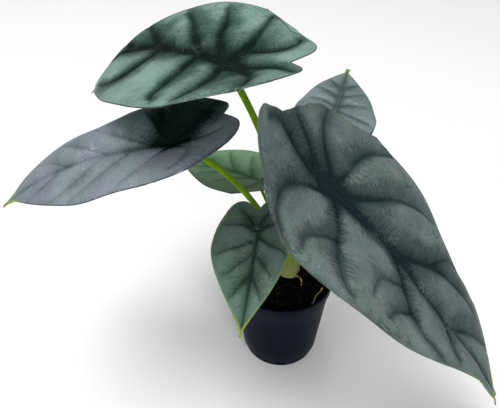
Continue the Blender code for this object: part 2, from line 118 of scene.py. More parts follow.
OUTLINE_CHUNK = 64              # pieces of the outline that are measured together

LEAVES = {
    "leaf_top_left": dict(
        heading=150, pitch=-4.5, roll=-19.5,
        tail=0.000, tail_width=0.0020, half_width=0.423, widest=0.05, taper=1.15,
        lobe_left=0.40, lobe_right=0.40, notch=0.80, side_left=1.09, side_right=1.065,
        droop=47, droop_power=1.29, swing=-6.3, twist=-21, rear_rise=-5, rear_swing=16,
        fold_left=11, fold_right=-8, fold_tip=0.87, fold_rear=1.97,
        curl_left=-10, curl_right=3, ripple=-0.0049, ripple_phase=8),
    "leaf_left": dict(
        heading=179.5, pitch=-11.4, roll=-11.4,
        tail=0.068, tail_width=0.0080, half_width=0.268, widest=0.31, taper=1.06,
        lobe_left=0.335, lobe_right=0.355, notch=0.93, side_left=1.07, side_right=1.03,
        droop=29, droop_power=1.26, swing=-7.2, twist=-12.3, rear_rise=-22.8, rear_swing=38,
        fold_left=5.3, fold_right=50, fold_tip=0.20, fold_rear=2.67,
        curl_left=0, curl_right=74, ripple=0.0081, ripple_phase=-108),
    "leaf_front_right": dict(
        heading=-29.3, pitch=-37.5, roll=0,
        tail=0.025, tail_width=0.0060, half_width=0.295, widest=0.12, taper=1.33,
        lobe_left=0.25, lobe_right=0.36, notch=0.90, side_left=1.005, side_right=1.075,
        droop=33, droop_power=1.70, swing=27.5, twist=-10.3, rear_rise=-36, rear_swing=10.7,
        fold_left=34, fold_right=-0.5, fold_tip=0.83, fold_rear=0.32,
        curl_left=44, curl_right=-9, ripple=-0.0079, ripple_phase=63),
    "leaf_back_right": dict(
        heading=76.8, pitch=0.5, roll=2.5,
        tail=0.088, tail_width=0.0200, half_width=0.372, widest=0.05, taper=1.28,
        lobe_left=0.52, lobe_right=0.50, notch=0.52, side_left=1.02, side_right=1.03,
        droop=9.5, droop_power=0.60, swing=-2, twist=0.7, rear_rise=1.6, rear_swing=-1.7,
        fold_left=1, fold_right=-4.6, fold_tip=1.09, fold_rear=1.20,
        curl_left=27, curl_right=23, ripple=0.0108, ripple_phase=2),
    "leaf_back_left": dict(
        heading=142.5, pitch=-4.5, roll=0.5,
        tail=0.029, tail_width=0.0068, half_width=0.398, widest=0.146, taper=1.14,
        lobe_left=0.394, lobe_right=0.345, notch=0.67, side_left=1.03, side_right=1.01,
        droop=9.5, droop_power=1.07, swing=-1.2, twist=-4.5, rear_rise=-2.2, rear_swing=0.5,
        fold_left=17.7, fold_right=12.7, fold_tip=0.90, fold_rear=2.0,
        curl_left=13.6, curl_right=21.3, ripple=0.0049, ripple_phase=22),
    "leaf_front": dict(
        heading=-97.2, pitch=-29, roll=9.5,
        tail=0.019, tail_width=0.0091, half_width=0.418, widest=0.134, taper=1.32,
        lobe_left=0.387, lobe_right=0.399, notch=0.72, side_left=0.87, side_right=1.10,
        droop=9.8, droop_power=1.08, swing=-7.6, twist=-0.4, rear_rise=9.5, rear_swing=4.2,
        fold_left=13.7, fold_right=9.2, fold_tip=1.16, fold_rear=0.60,
        curl_left=15.5, curl_right=17.4, ripple=-0.0052, ripple_phase=-11),
}

# How far each margin runs inside or outside the plain outline: (station, share) marks from
# the rear of the blade to its tip, and (across, share) marks for the rear edge.
MARGINS = {
    "leaf_front_right": dict(
        left=[(0, 1), (0.25, 1.03), (0.41, 1.04), (0.50, 0.96), (0.58, 0.90), (0.66, 0.98),
              (0.73, 1.14), (0.84, 1.20), (0.90, 1.05), (0.95, 1.2), (1, 1)],
        right=[(0, 0.94), (0.15, 0.98), (0.30, 1.02), (0.44, 1.05), (0.60, 1.03), (0.70, 1.05),
               (0.75, 1.40), (0.80, 1.30), (0.86, 1.15), (0.92, 1.2), (1, 1)],
        rear=[(-1, 0.88), (-0.7, 0.885), (-0.5, 0.94), (-0.3, 1.0), (0, 1.01), (0.3, 0.96),
              (0.5, 0.98), (0.7, 1.0), (1, 1)]),
}

# Veins of each blade in its flat pattern: places along and across the blade from the
# stalk's joint, in shares of its length; less than 0 across is the left, looking towards
# the tip. Each kind of vein has its half width where it is widest and at its end in
# millimetres, its depth, and how much wider its slope is towards the blade's rear.
MIDRIB = (2.8, 0.9, 0.95, 0.0)
LATERAL = (2.6, 1.3, 0.80, 1.0)
BRANCH = (1.4, 0.8, 0.62, 0.8)
LOBE = (2.1, 1.2, 0.80, 0.0)


def both_sides(*veins):
    """The veins of the right half, after the same veins on the left half."""
    left = [(kind, [(along, -across) for along, across in marks]) for kind, marks in veins]
    return [*left, *veins]


VEINS = {
    "leaf_front_right": [
        (MIDRIB, [(-0.03, -0.01), (0.10, -0.01), (0.28, -0.012), (0.42, 0.02), (0.52, 0.04),
                  (0.65, 0.055), (0.80, 0.04), (0.98, 0.0)]),
        (LOBE, [(0.0, 0.0), (-0.05, 0.0), (-0.15, -0.045), (-0.26, -0.06)]),
        (LOBE, [(-0.02, -0.03), (-0.10, -0.08), (-0.15, -0.13), (-0.17, -0.20)]),
        (LATERAL, [(0.0, -0.02), (0.0, -0.08), (-0.003, -0.137), (0.02, -0.20), (0.086, -0.282)]),
        (LATERAL, [(0.045, -0.015), (0.11, -0.08), (0.175, -0.145), (0.255, -0.19), (0.33, -0.21)]),
        (LATERAL, [(0.30, -0.02), (0.40, -0.073), (0.48, -0.097), (0.58, -0.108), (0.66, -0.105)]),
        (BRANCH, [(0.40, -0.09), (0.465, -0.16), (0.58, -0.178), (0.65, -0.16)]),
        (LATERAL, [(0.56, 0.035), (0.64, -0.015), (0.74, -0.055), (0.83, -0.07)]),
        (LOBE, [(-0.05, 0.0), (-0.15, 0.005), (-0.23, 0.01), (-0.28, 0.032), (-0.31, 0.09)]),
        (LATERAL, [(-0.01, 0.02), (-0.075, 0.064), (-0.116, 0.121), (-0.124, 0.185),
                   (-0.10, 0.234), (-0.06, 0.26)]),
        (LATERAL, [(0.037, 0.02), (0.078, 0.088), (0.11, 0.185), (0.142, 0.25), (0.166, 0.279)]),
        (BRANCH, [(0.09, 0.13), (0.04, 0.165), (0.013, 0.21), (0.02, 0.26)]),
        (LATERAL, [(0.28, 0.0), (0.32, 0.056), (0.36, 0.137), (0.40, 0.185), (0.465, 0.218)]),
        (BRANCH, [(0.32, 0.08), (0.255, 0.113), (0.231, 0.153), (0.226, 0.218)]),
        (BRANCH, [(0.36, 0.15), (0.304, 0.20), (0.28, 0.25)]),
        (LATERAL, [(0.515, 0.05), (0.53, 0.105), (0.54, 0.17)]),
        (LATERAL, [(0.70, 0.055), (0.73, 0.085), (0.78, 0.11)]),
    ],
    "leaf_top_left": [
        (MIDRIB, [(-0.03, -0.03), (0.13, 0.01), (0.30, 0.04), (0.46, 0.075), (0.62, 0.10),
                  (0.76, 0.12), (0.98, 0.02)]),
        (LOBE, [(-0.03, -0.03), (-0.15, -0.05), (-0.27, -0.064), (-0.333, -0.12), (-0.374, -0.185)]),
        (LOBE, [(-0.03, -0.06), (-0.14, -0.088), (-0.204, -0.168), (-0.22, -0.233),
                (-0.228, -0.305)]),
        (LATERAL, [(-0.03, -0.06), (-0.043, -0.168), (-0.035, -0.297), (-0.019, -0.394)]),
        (LATERAL, [(0.135, -0.02), (0.143, -0.168), (0.135, -0.33), (0.10, -0.39)]),
        (LATERAL, [(0.40, 0.03), (0.473, -0.072), (0.554, -0.128), (0.667, -0.128), (0.80, -0.07)]),
        (LOBE, [(-0.04, 0.02), (-0.10, 0.09), (-0.22, 0.122), (-0.293, 0.202), (-0.298, 0.267)]),
        (LATERAL, [(-0.043, 0.01), (-0.067, 0.154), (-0.059, 0.315), (-0.051, 0.412)]),
        (LATERAL, [(0.02, 0.025), (0.102, 0.154), (0.135, 0.267), (0.183, 0.38)]),
        (LATERAL, [(0.15, 0.041), (0.247, 0.154), (0.312, 0.251), (0.376, 0.315)]),
        (LATERAL, [(0.425, 0.09), (0.505, 0.17), (0.57, 0.235), (0.618, 0.267)]),
        (LATERAL, [(0.62, 0.11), (0.69, 0.16), (0.76, 0.19)]),
    ],
    "leaf_left": [
        (MIDRIB, [(-0.03, 0.0), (0.25, 0.005), (0.60, 0.01), (0.98, 0.0)]),
        (LOBE, [(-0.02, 0.0), (-0.14, -0.03), (-0.26, -0.07)]),
        (LOBE, [(-0.03, -0.02), (-0.095, -0.075), (-0.062, -0.14), (-0.014, -0.188)]),
        (LATERAL, [(0.0, -0.03), (0.10, -0.107), (0.18, -0.19), (0.26, -0.27)]),
        (LATERAL, [(0.20, -0.01), (0.30, -0.09), (0.40, -0.17), (0.50, -0.225)]),
        (LATERAL, [(0.39, -0.02), (0.50, -0.12), (0.615, -0.18), (0.71, -0.16)]),
        (LATERAL, [(0.64, -0.01), (0.74, -0.065), (0.84, -0.09)]),
        (LOBE, [(-0.02, 0.0), (-0.14, 0.03), (-0.26, 0.09)]),
        (LOBE, [(-0.03, 0.02), (-0.10, 0.10), (-0.13, 0.19)]),
        (LATERAL, [(0.0, 0.03), (0.05, 0.12), (0.10, 0.20)]),
        (LATERAL, [(0.10, 0.01), (0.21, 0.07), (0.33, 0.14), (0.40, 0.20)]),
        (LATERAL, [(0.33, 0.01), (0.45, 0.08), (0.55, 0.14), (0.64, 0.18)]),
        (LATERAL, [(0.56, 0.01), (0.66, 0.07), (0.78, 0.10)]),
    ],
    "leaf_front": [
        (MIDRIB, [(-0.04, -0.02), (0.20, 0.0), (0.60, 0.0), (0.98, 0.0)]),
        (LOBE, [(-0.04, -0.01), (-0.16, -0.06), (-0.28, -0.15)]),
        (LATERAL, [(-0.05, -0.04), (-0.10, -0.14), (-0.10, -0.30)]),
        (LATERAL, [(0.03, -0.03), (0.10, -0.15), (0.16, -0.29), (0.22, -0.35)]),
        (LATERAL, [(0.20, -0.02), (0.31, -0.12), (0.42, -0.22)]),
        (LATERAL, [(0.42, -0.01), (0.53, -0.08), (0.64, -0.14)]),
        (LOBE, [(-0.04, 0.01), (-0.17, 0.07), (-0.29, 0.17)]),
        (LATERAL, [(-0.05, 0.02), (-0.106, 0.123), (-0.114, 0.25), (-0.106, 0.32)]),
        (LATERAL, [(0.06, 0.02), (0.135, 0.155), (0.17, 0.284), (0.23, 0.38)]),
        (LATERAL, [(0.20, 0.02), (0.313, 0.139), (0.42, 0.24)]),
        (LATERAL, [(0.42, 0.01), (0.53, 0.09), (0.64, 0.15)]),
    ],
    "leaf_back_right": [
        (MIDRIB, [(-0.03, 0.0), (0.30, 0.01), (0.60, 0.01), (0.98, 0.0)]),
        (LOBE, [(-0.03, -0.01), (-0.20, -0.07), (-0.36, -0.16)]),
        (LATERAL, [(-0.02, -0.02), (-0.05, -0.16), (-0.05, -0.31)]),
        (LATERAL, [(0.06, -0.02), (0.16, -0.12), (0.24, -0.24)]),
        (LATERAL, [(0.24, -0.01), (0.36, -0.10), (0.47, -0.20)]),
        (LATERAL, [(0.46, 0.0), (0.57, -0.07), (0.68, -0.13)]),
        (LOBE, [(-0.03, 0.01), (-0.20, 0.07), (-0.36, 0.16)]),
        (LATERAL, [(-0.02, 0.02), (-0.05, 0.16), (-0.05, 0.31)]),
        (LATERAL, [(0.06, 0.02), (0.16, 0.13), (0.24, 0.25)]),
        (LATERAL, [(0.24, 0.02), (0.36, 0.11), (0.47, 0.21)]),
        (LATERAL, [(0.46, 0.02), (0.57, 0.08), (0.68, 0.14)]),
    ],
    "leaf_back_left": [
        (MIDRIB, [(-0.03, 0.0), (0.30, 0.0), (0.60, 0.0), (0.98, 0.0)]),
        *both_sides(
            (LOBE, [(-0.03, 0.01), (-0.15, 0.07), (-0.28, 0.16)]),
            (LATERAL, [(-0.02, 0.02), (-0.05, 0.16), (-0.03, 0.31)]),
            (LATERAL, [(0.08, 0.02), (0.18, 0.13), (0.27, 0.27)]),
            (LATERAL, [(0.28, 0.01), (0.40, 0.11), (0.50, 0.21)]),
            (LATERAL, [(0.50, 0.0), (0.61, 0.07), (0.71, 0.13)])),
    ],
}

# Patches of painted shade on a blade, mostly where the leaf above casts its shadow and in the pocket
# round the stalk's joint, with some of the leaf's own darker hub: place along and across, reach
# along and across, and strength.
PAINTED_SHADE_PATCHES = {
    "leaf_left": [(-0.17, 0.15, 0.31, 0.17, 1.0), (-0.02, 0.02, 0.12, 0.07, 0.8)],
    "leaf_front_right": [(-0.13, -0.02, 0.15, 0.05, 0.10), (0.02, 0.0, 0.10, 0.05, 0.38),
                         (-0.25, -0.10, 0.16, 0.14, 0.10), (0.30, -0.06, 0.30, 0.05, 0.14)],
    "leaf_top_left": [(-0.02, 0.03, 0.14, 0.09, 0.2), (-0.20, -0.25, 0.16, 0.18, 0.16)],
}

# Finish of each blade. grid is the rows and columns of its mesh. relief is the depth of its
# veins in millimetres and vein_size scales their width; veining, rungs, wrinkles, specks, gloss
# and tinting are strengths, as are seam and ridge, a dark and a pale line along its veins; lime
# is how far its tip is lime.
FINISHES = {
    "leaf_top_left": dict(
        grid=(240, 140), relief=5.4, vein_size=1.25, veining=1.10, rungs=0.4, wrinkles=0.7,
        specks=0.25, gloss=0.06, crest=(0.205, 0.320, 0.270), body=(0.060, 0.112, 0.092),
        shade=(0.015, 0.041, 0.031), valley=(0.0010, 0.009, 0.006), tint=(0.135, 0.190, 0.185),
        tinting=0.25, edge=(0.030, 0.045, 0.038), seam=0.45, ridge=0.0, tip=(0.06, 0.10, 0.07),
        lime=0.002),
    "leaf_left": dict(
        grid=(240, 140), relief=2.4, vein_size=0.6, veining=0.42, rungs=0.2, wrinkles=0.7,
        specks=0.9, gloss=0.06, crest=(0.215, 0.262, 0.285), body=(0.140, 0.180, 0.190),
        shade=(0.040, 0.066, 0.064), valley=(0.0005, 0.006, 0.004), tint=(0.190, 0.190, 0.235),
        tinting=0.60, edge=(0.025, 0.034, 0.034), seam=0.15, ridge=0.0, tip=(0.22, 0.30, 0.04),
        lime=0.070),
    "leaf_front_right": dict(
        grid=(250, 150), relief=5.2, vein_size=0.95, veining=0.95, rungs=0.5, wrinkles=1.0,
        specks=0.35, gloss=0.06, crest=(0.128, 0.176, 0.163), body=(0.046, 0.070, 0.065),
        shade=(0.026, 0.045, 0.046), valley=(0.007, 0.018, 0.020), tint=(0.084, 0.106, 0.124),
        tinting=0.45, edge=(0.080, 0.110, 0.075), seam=0.55, ridge=0.0, tip=(0.16, 0.27, 0.012),
        lime=0.175),
    "leaf_back_right": dict(
        grid=(160, 100), relief=1.0, vein_size=0.5, veining=1.0, rungs=0.2, wrinkles=0.9,
        specks=0.9, gloss=0.10, crest=(0.190, 0.255, 0.262), body=(0.105, 0.152, 0.150),
        shade=(0.052, 0.090, 0.080), valley=(0.040, 0.070, 0.062), tint=(0.110, 0.160, 0.140),
        tinting=0.6, edge=(0.040, 0.060, 0.055), seam=0.0, ridge=0.5, tip=(0.12, 0.24, 0.02),
        lime=0.100),
    "leaf_back_left": dict(
        grid=(160, 100), relief=1.0, vein_size=0.6, veining=0.9, rungs=0.2, wrinkles=0.5,
        specks=0.5, gloss=0.10, crest=(0.215, 0.360, 0.200), body=(0.125, 0.245, 0.130),
        shade=(0.075, 0.170, 0.075), valley=(0.040, 0.105, 0.040), tint=(0.155, 0.255, 0.200),
        tinting=0.6, edge=(0.050, 0.090, 0.040), seam=0.0, ridge=0.2, tip=(0.10, 0.17, 0.07),
        lime=0.010),
    "leaf_front": dict(
        grid=(160, 100), relief=1.4, vein_size=0.6, veining=1.0, rungs=0.2, wrinkles=0.7,
        specks=0.5, gloss=0.10, crest=(0.120, 0.188, 0.150), body=(0.070, 0.120, 0.092),
        shade=(0.034, 0.069, 0.051), valley=(0.007, 0.028, 0.018), tint=(0.082, 0.125, 0.112),
        tinting=0.5, edge=(0.150, 0.250, 0.060), seam=0.2, ridge=0.0, tip=(0.22, 0.32, 0.03),
        lime=0.085),
}

# A stalk stands on the stem's top at a compass angle. It leaves along lean and meets its
# blade along arrive; rise and reach say how long it keeps to each of these directions.
STALKS = {
    "petiole_top_left": dict(
        leaf="leaf_top_left", angle=78, base=2.3, radius=2.6,
        lean=(-0.12, -0.16, 1.0), rise=0.070, arrive=(-0.62, -0.05, 1.0), reach=0.050),
    "petiole_left": dict(
        leaf="leaf_left", angle=186, base=2.5, radius=2.5,
        lean=(-0.43, -0.08, 1.0), rise=0.076, arrive=(-1.0, -0.40, 0.36), reach=0.034),
    "petiole_front_right": dict(
        leaf="leaf_front_right", angle=-58, base=2.7, radius=2.7,
        lean=(0.05, -0.25, 1.0), rise=0.040, arrive=(0.35, -0.35, 1.0), reach=0.030),
    "petiole_back_right": dict(
        leaf="leaf_back_right", angle=22, base=1.9, radius=1.8,
        lean=(0.20, 0.30, 1.0), rise=0.045, arrive=(0.30, 0.60, 1.0), reach=0.025),
    "petiole_back_left": dict(
        leaf="leaf_back_left", angle=125, base=1.5, radius=1.4,
        lean=(-0.35, 0.20, 1.0), rise=0.022, arrive=(-0.40, 0.80, 1.0), reach=0.014),
    "petiole_front": dict(
        leaf="leaf_front", angle=-120, base=1.7, radius=1.6,
        lean=(-0.15, -0.35, 1.0), rise=0.020, arrive=(-0.40, -0.75, 1.0), reach=0.014),
}
STALK_RING = 0.62               # stalks stand this far out on the stem's top, of its radius
STALK_ROOT = 2 * MM             # how deep a stalk starts inside the stem
STALK_GAP = 0.5 * MM            # room between a stalk's end and its blade
STALK_GROOVE = 0.16             # depth of the groove that faces the stem, of the radius
STALK_INWARD_RISE = Vector((0.0, 0.0, 0.2))     # the groove faces this much upwards
STALK_MARKS, STALK_SIDES = 61, 28               # marks along a stalk and sides round it
EVEN_PARTS = 4                  # a stalk has its even radius after one part of these
FOOT_FLARE, FLARE_PARTS = 0.28, 6               # how much its foot flares, and over which part
SWELLING, SWELLING_START = 0.22, 0.93           # how much it swells, and from where
STALK_WAVES = ((0.012, 40), (0.010, 93))        # slight unevenness: height, radians along it
STEM_TOP_SHARE = 0.87           # the stem's top radius, of its foot's

# Outline of the stem: radius, as a share of its foot's, and millimetres above the soil.
STEM_RINGS = [(0.76, -16.0), (0.98, -1.0), (1.0, 0.0), (1.02, 3.0), (0.97, 5.0), (1.0, 6.2),
              (0.96, 10.0), (0.93, 11.5), (0.955, 13.0), (0.93, 18.0), (0.90, 22.0),
              (0.91, 24.0), (0.87, 29.0), (0.80, 31.2), (0.62, 32.0), (0.10, 32.0)]
STEM_SWELL = 0.035              # how far the stem's three soft ridges stand out
STEM_TWIST = 220                # how fast the ridges turn round it, in radians per metre

SHEATH_GRID = (30, 28)
SHEATH_THICKNESS = 0.5 * MM
SHEATH_LEAVES, SHEATH_PASSAGE = 0.25, 0.6       # where it leaves the stem, and over which part
SHEATH_HUG, SHEATH_TOP = 1.05, 1.18             # its radius, of the stem's and of the stalk's
SHEATH_GAP = 0.2 * MM                           # its room round the stalk
SHEATH_TAPER = 0.55                             # how much less it wraps at its top
SHEATH_FLARE = 0.05                             # how far its edges stand out
# Sheaths round the stem: stalk, foot above the soil and reach up the stalk in millimetres,
# and half of the angle they wrap in degrees.
SHEATHS = {
    "sheath_left": ("petiole_left", 1.0, 22.0, 105),
    "sheath_front": ("petiole_front_right", 6.0, 18.0, 95),
    "sheath_back": ("petiole_top_left", 3.0, 26.0, 100),
}

# ---- the pot and the roots --------------------------------------------------------------
POT_FOOT = 6 * MM               # height of the stepped foot
POT_BAND = POT_HEIGHT - 8 * MM  # height at which the rim band starts
FOOT_SHARE = 0.789              # the wall's radius at the foot, of the rim's
BAND_SHARE = 0.962              # the wall's radius under the band, of the rim's
HEEL_STEP = 1.8 * MM            # how far the foot stands back from the wall
INNER_FLOOR = 1.8 * MM          # top of the pot's floor
DRAIN_SLOTS = 6
SLOT_SIZE = (6 * MM, 8 * MM, 3.6 * MM)
SLOT_INSET = 2.3 * MM           # the slots' middle lies this far inside the wall
SLOT_ROUNDING = 1.2 * MM
ROOT_PALE, ROOT_STAIN = (0.40, 0.36, 0.15), (0.16, 0.11, 0.045)
STEM_ROOT_RADIUS = 0.9 * MM
STEM_ROOT_TURN, STEM_ROOT_BEND = -62, 14        # compass angle, and how far it bends away
STEM_ROOT_REACH = 13.5 * MM
STEM_ROOT_HEIGHT = 1.1 * MM                     # its middle line over the soil
STEM_ROOT_ARCH, STEM_ROOT_DROP = 2.3 * MM, 1.2 * MM
RIM_ROOT_RADIUS = 0.8 * MM
RIM_ROOT_INSET = 5.8 * MM                       # how far it lies inside the wall
RIM_ROOT_TURNS = (-20, -49)                     # compass angles of its high and low ends
RIM_ROOT_RISE = 3.5 * MM                        # its high end over its low end


# ---- sizes and colours a user would change ----------------------------------------------
def length_property(name, description, default):
    return bpy.props.FloatProperty(name=name, description=description, default=default,
                                   min=0.0, unit="LENGTH", precision=4)


def colour_property(name, description, default):
    return bpy.props.FloatVectorProperty(name=name, description=description, size=3,
                                         default=default, min=0.0, max=1.0, subtype="COLOR")


def share_property(name, description, default):
    return bpy.props.FloatProperty(name=name, description=description, default=default,
                                   min=0.0, soft_max=1.0, subtype="FACTOR")


class AlocasiaBlades(bpy.types.PropertyGroup):
    thickness: length_property(
        "Rib thickness", "Thickness of a blade along its main veins", 1.8 * MM)
    thin_share: share_property(
        "Thin share", "Thickness between the veins, as a share of the ribs'", 0.36)
    relief: share_property("Relief", "How deep the veins are, of each leaf's own depth", 1.0)
    rung_gap: length_property(
        "Rung spacing", "Distance between the fine creases that cross a pillow", 2.7 * MM)
    wrinkle_gap: length_property(
        "Wrinkle spacing", "Distance between the long wrinkles that cross a pillow", 3.8 * MM)
    underside: colour_property("Underside", "Colour of the blades' undersides",
                               (0.20, 0.29, 0.17))
    under_vein: colour_property("Underside veins", "Colour of the ribs under the blades",
                                (0.30, 0.38, 0.16))


class AlocasiaStalks(bpy.types.PropertyGroup):
    colour: colour_property("Stalk", "Colour of the leaf stalks", (0.130, 0.260, 0.002))
    base_colour: colour_property("Stalk base", "Colour of the stalks where they leave the stem",
                                 (0.26, 0.34, 0.05))
    shade_colour: colour_property("Stalk shade", "Colour of the stalks' darker streaks",
                                  (0.080, 0.170, 0.001))


class AlocasiaStem(bpy.types.PropertyGroup):
    pale: colour_property("Stem foot", "Colour of the stem at the soil", (0.40, 0.43, 0.17))
    green: colour_property("Stem top", "Colour of the stem under the stalks",
                           (0.17, 0.25, 0.03))
    husk: colour_property("Husk", "Colour of the dry husks round the stem", (0.36, 0.22, 0.10))


class AlocasiaSoil(bpy.types.PropertyGroup):
    crumbs: bpy.props.IntProperty(
        name="Crumbs", description="How many loose crumbs lie on the soil", default=900, min=0)
    crumb: length_property("Crumb size", "Size of the largest crumbs", 2.6 * MM)
    fibres: bpy.props.IntProperty(
        name="Fibres", description="How many fine fibres lie on the soil", default=45, min=0)
    colour: colour_property("Soil", "Colour of the damp soil", (0.0010, 0.0010, 0.0013))
    crumb_colour: colour_property("Crumb colour", "Colour of the drier crumbs",
                                  (0.0050, 0.0045, 0.0045))
    fibre_colour: colour_property("Fibre colour", "Colour of the fibres", (0.040, 0.026, 0.016))


class AlocasiaPot(bpy.types.PropertyGroup):
    colour: colour_property("Pot", "Colour of the pot's plastic", (0.0012, 0.0030, 0.0105))
    dust: colour_property("Dust", "Colour of the dust on the pot", (0.0060, 0.0090, 0.0190))
    wall: length_property("Wall", "Thickness of the pot's wall", 1.3 * MM)


class AlocasiaStage(bpy.types.PropertyGroup):
    floor: colour_property("Floor", "Colour of the floor", (0.92, 0.92, 0.92))
    sky: bpy.props.FloatProperty(
        name="Sky", description="Brightness of the even light all round", default=0.38)
    key: bpy.props.FloatProperty(
        name="Key light", description="Power of the large light above", default=62.0,
        unit="POWER")
    fill: bpy.props.FloatProperty(
        name="Fill light", description="Power of the light at the side", default=14.0,
        unit="POWER")
    lens: bpy.props.FloatProperty(
        name="Lens", description="Focal length of the camera", default=40.0,
        subtype="DISTANCE_CAMERA")


# ---- shader graphs ----------------------------------------------------------------------
class Wire:
    """An output socket that can be used in a sum."""

    def __init__(self, graph, socket):
        self.graph = graph
        self.socket = socket

    def __add__(self, other):
        return self.graph.maths("ADD", self, other)

    def __radd__(self, other):
        return self.graph.maths("ADD", other, self)

    def __sub__(self, other):
        return self.graph.maths("SUBTRACT", self, other)

    def __rsub__(self, other):
        return self.graph.maths("SUBTRACT", other, self)

    def __mul__(self, other):
        return self.graph.maths("MULTIPLY", self, other)

    def __rmul__(self, other):
        return self.graph.maths("MULTIPLY", other, self)

    def __truediv__(self, other):
        return self.graph.maths("DIVIDE", self, other)

    def __pow__(self, other):
        return self.graph.maths("POWER", self, other)


class Graph:
    """The nodes of one material."""

    def __init__(self, name):
        self.material = bpy.data.materials.new(name)
        self.material.use_nodes = True
        self.tree = self.material.node_tree
        self.shader = self.tree.nodes["Principled BSDF"]

    def plug(self, socket, value):
        if isinstance(value, Wire):
            self.tree.links.new(value.socket, socket)
        elif socket.type == "RGBA":
            socket.default_value = (*value, 1.0)
        else:
            socket.default_value = value

    def node(self, kind, settings=None, inputs=None, output=0):
        made = self.tree.nodes.new(kind)
        for name, value in (settings or {}).items():
            setattr(made, name, value)
        for name, value in (inputs or {}).items():
            self.plug(made.inputs[name], value)
        return Wire(self, made.outputs[output])

    def maths(self, operation, first, second=0.0):
        return self.node("ShaderNodeMath", {"operation": operation}, {0: first, 1: second})

    def attribute(self, name):
        return self.node("ShaderNodeAttribute", {"attribute_name": name}, output="Fac")

    def coordinates(self):
        return self.node("ShaderNodeTexCoord", output="Object")

    def height(self):
        return self.node("ShaderNodeSeparateXYZ", {}, {"Vector": self.coordinates()}, "Z")

    def noise(self, scale, detail=3.0, roughness=0.55, stretch=None):
        where = self.coordinates()
        if stretch:
            where = self.node("ShaderNodeMapping", {}, {"Vector": where, "Scale": stretch})
        inputs = {"Vector": where, "Scale": scale, "Detail": detail, "Roughness": roughness}
        return self.node("ShaderNodeTexNoise", {}, inputs)

    def rise(self, value, low, high):
        """0 below low, 1 above high, and smooth between."""
        settings = {"interpolation_type": "SMOOTHSTEP"}
        inputs = {"Value": value, "From Min": low, "From Max": high}
        return self.node("ShaderNodeMapRange", settings, inputs)

    def line(self, value, middle, half_width):
        """1 where a value equals middle, fading to 0 within half_width."""
        return 1.0 - self.rise(self.maths("ABSOLUTE", value - middle), 0.0, half_width)

    def mix(self, share, first, second):
        made = self.tree.nodes.new("ShaderNodeMix")
        made.data_type = "RGBA"
        self.plug(made.inputs[0], share)
        self.plug(made.inputs[6], first)
        self.plug(made.inputs[7], second)
        return Wire(self, made.outputs[2])

    def ramp(self, value, stops):
        """Colours that change smoothly with a value, through (value, colour) stops."""
        made = self.tree.nodes.new("ShaderNodeValToRGB")
        self.plug(made.inputs["Fac"], value)
        marks = made.color_ramp.elements
        while len(marks) < len(stops):
            marks.new(0.5)
        for mark, (place, colour) in zip(marks, stops):
            mark.position = place
            mark.color = (*colour, 1.0)
        return Wire(self, made.outputs["Color"])

    def bump(self, height, distance, strength=1.0):
        inputs = {"Height": height, "Distance": distance, "Strength": strength}
        return self.node("ShaderNodeBump", {}, inputs, "Normal")

    def finish(self, **sockets):
        for name, value in sockets.items():
            self.plug(self.shader.inputs[name.replace("_", " ").title().replace("Ior", "IOR")],
                      value)
        return self.material


# ---- helpers for pieces -----------------------------------------------------------------
def settings(group):
    return getattr(bpy.context.scene, group)


def deselect():
    if bpy.context.object and bpy.context.object.mode != "OBJECT":
        bpy.ops.object.mode_set(mode="OBJECT")
    bpy.ops.object.select_all(action="DESELECT")


def select_only(piece):
    deselect()
    piece.select_set(True)
    bpy.context.view_layer.objects.active = piece


def apply_modifier(piece, modifier):
    select_only(piece)
    bpy.ops.object.modifier_apply(modifier=modifier.name)


def put_in_scene(name, data):
    item = bpy.data.objects.new(name, data)
    bpy.context.scene.collection.objects.link(item)
    return item


def keep(piece, name, materials, replaced=()):
    """Name a finished piece, put its place into its mesh and tie it to the frame."""
    piece.name = name
    piece.data.name = name
    piece.data.materials.clear()
    for material in materials:
        piece.data.materials.append(material)
    select_only(piece)
    bpy.ops.object.transform_apply(location=True, rotation=True, scale=True)
    bpy.ops.object.shade_smooth_by_angle(angle=SMOOTH_ANGLE)
    piece.select_set(False)
    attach(piece, BODY)
    if replaced:
        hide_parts(*replaced)
    return piece


def plain_grid(rows, columns):
    """A flat grid from -1 to 1, columns across X and rows along Y."""
    deselect()
    bpy.ops.mesh.primitive_grid_add(x_subdivisions=columns, y_subdivisions=rows, size=2.0)
    return bpy.context.object


def grid_places(piece):
    flat = np.array([corner.co[:2] for corner in piece.data.vertices])
    return (flat[:, 1] + 1) / 2, flat[:, 0]


def set_places(piece, places):
    piece.data.vertices.foreach_set("co", np.asarray(places, dtype=np.float32).ravel())
    piece.data.update()


def add_value(piece, name, values):
    layer = piece.data.attributes.new(name, "FLOAT", "POINT")
    layer.data.foreach_set("value", np.asarray(values, dtype=np.float32))


def edit(piece):
    select_only(piece)
    bpy.ops.object.mode_set(mode="EDIT")
    bpy.ops.mesh.select_all(action="SELECT")


def close_openings(piece):
    """Close a piece's open rings and face everything outwards."""
    edit(piece)
    bpy.ops.mesh.select_all(action="DESELECT")
    bpy.ops.mesh.select_mode(type="EDGE")
    bpy.ops.mesh.select_non_manifold()
    bpy.ops.mesh.edge_face_add()
    bpy.ops.mesh.select_all(action="SELECT")
    bpy.ops.mesh.normals_make_consistent(inside=False)
    bpy.ops.object.mode_set(mode="OBJECT")
    return piece


def close_tube(piece):
    """Join a rolled grid's two long edges and close both of its ends."""
    edit(piece)
    bpy.ops.mesh.remove_doubles(threshold=SEAM_GAP)
    return close_openings(piece)


def smooth(share):
    """A share that starts and stops gently."""
    share = np.clip(share, 0, 1)
    return share * share * (3 - 2 * share)


def eased(where, marks):
    """Smooth steps through (place, value) marks."""
    places, values = (np.array(column, dtype=float) for column in zip(*marks))
    index = np.clip(np.searchsorted(places, where) - 1, 0, len(places) - 2)
    share = smooth((where - places[index]) / (places[index + 1] - places[index]))
    return values[index] + (values[index + 1] - values[index]) * share


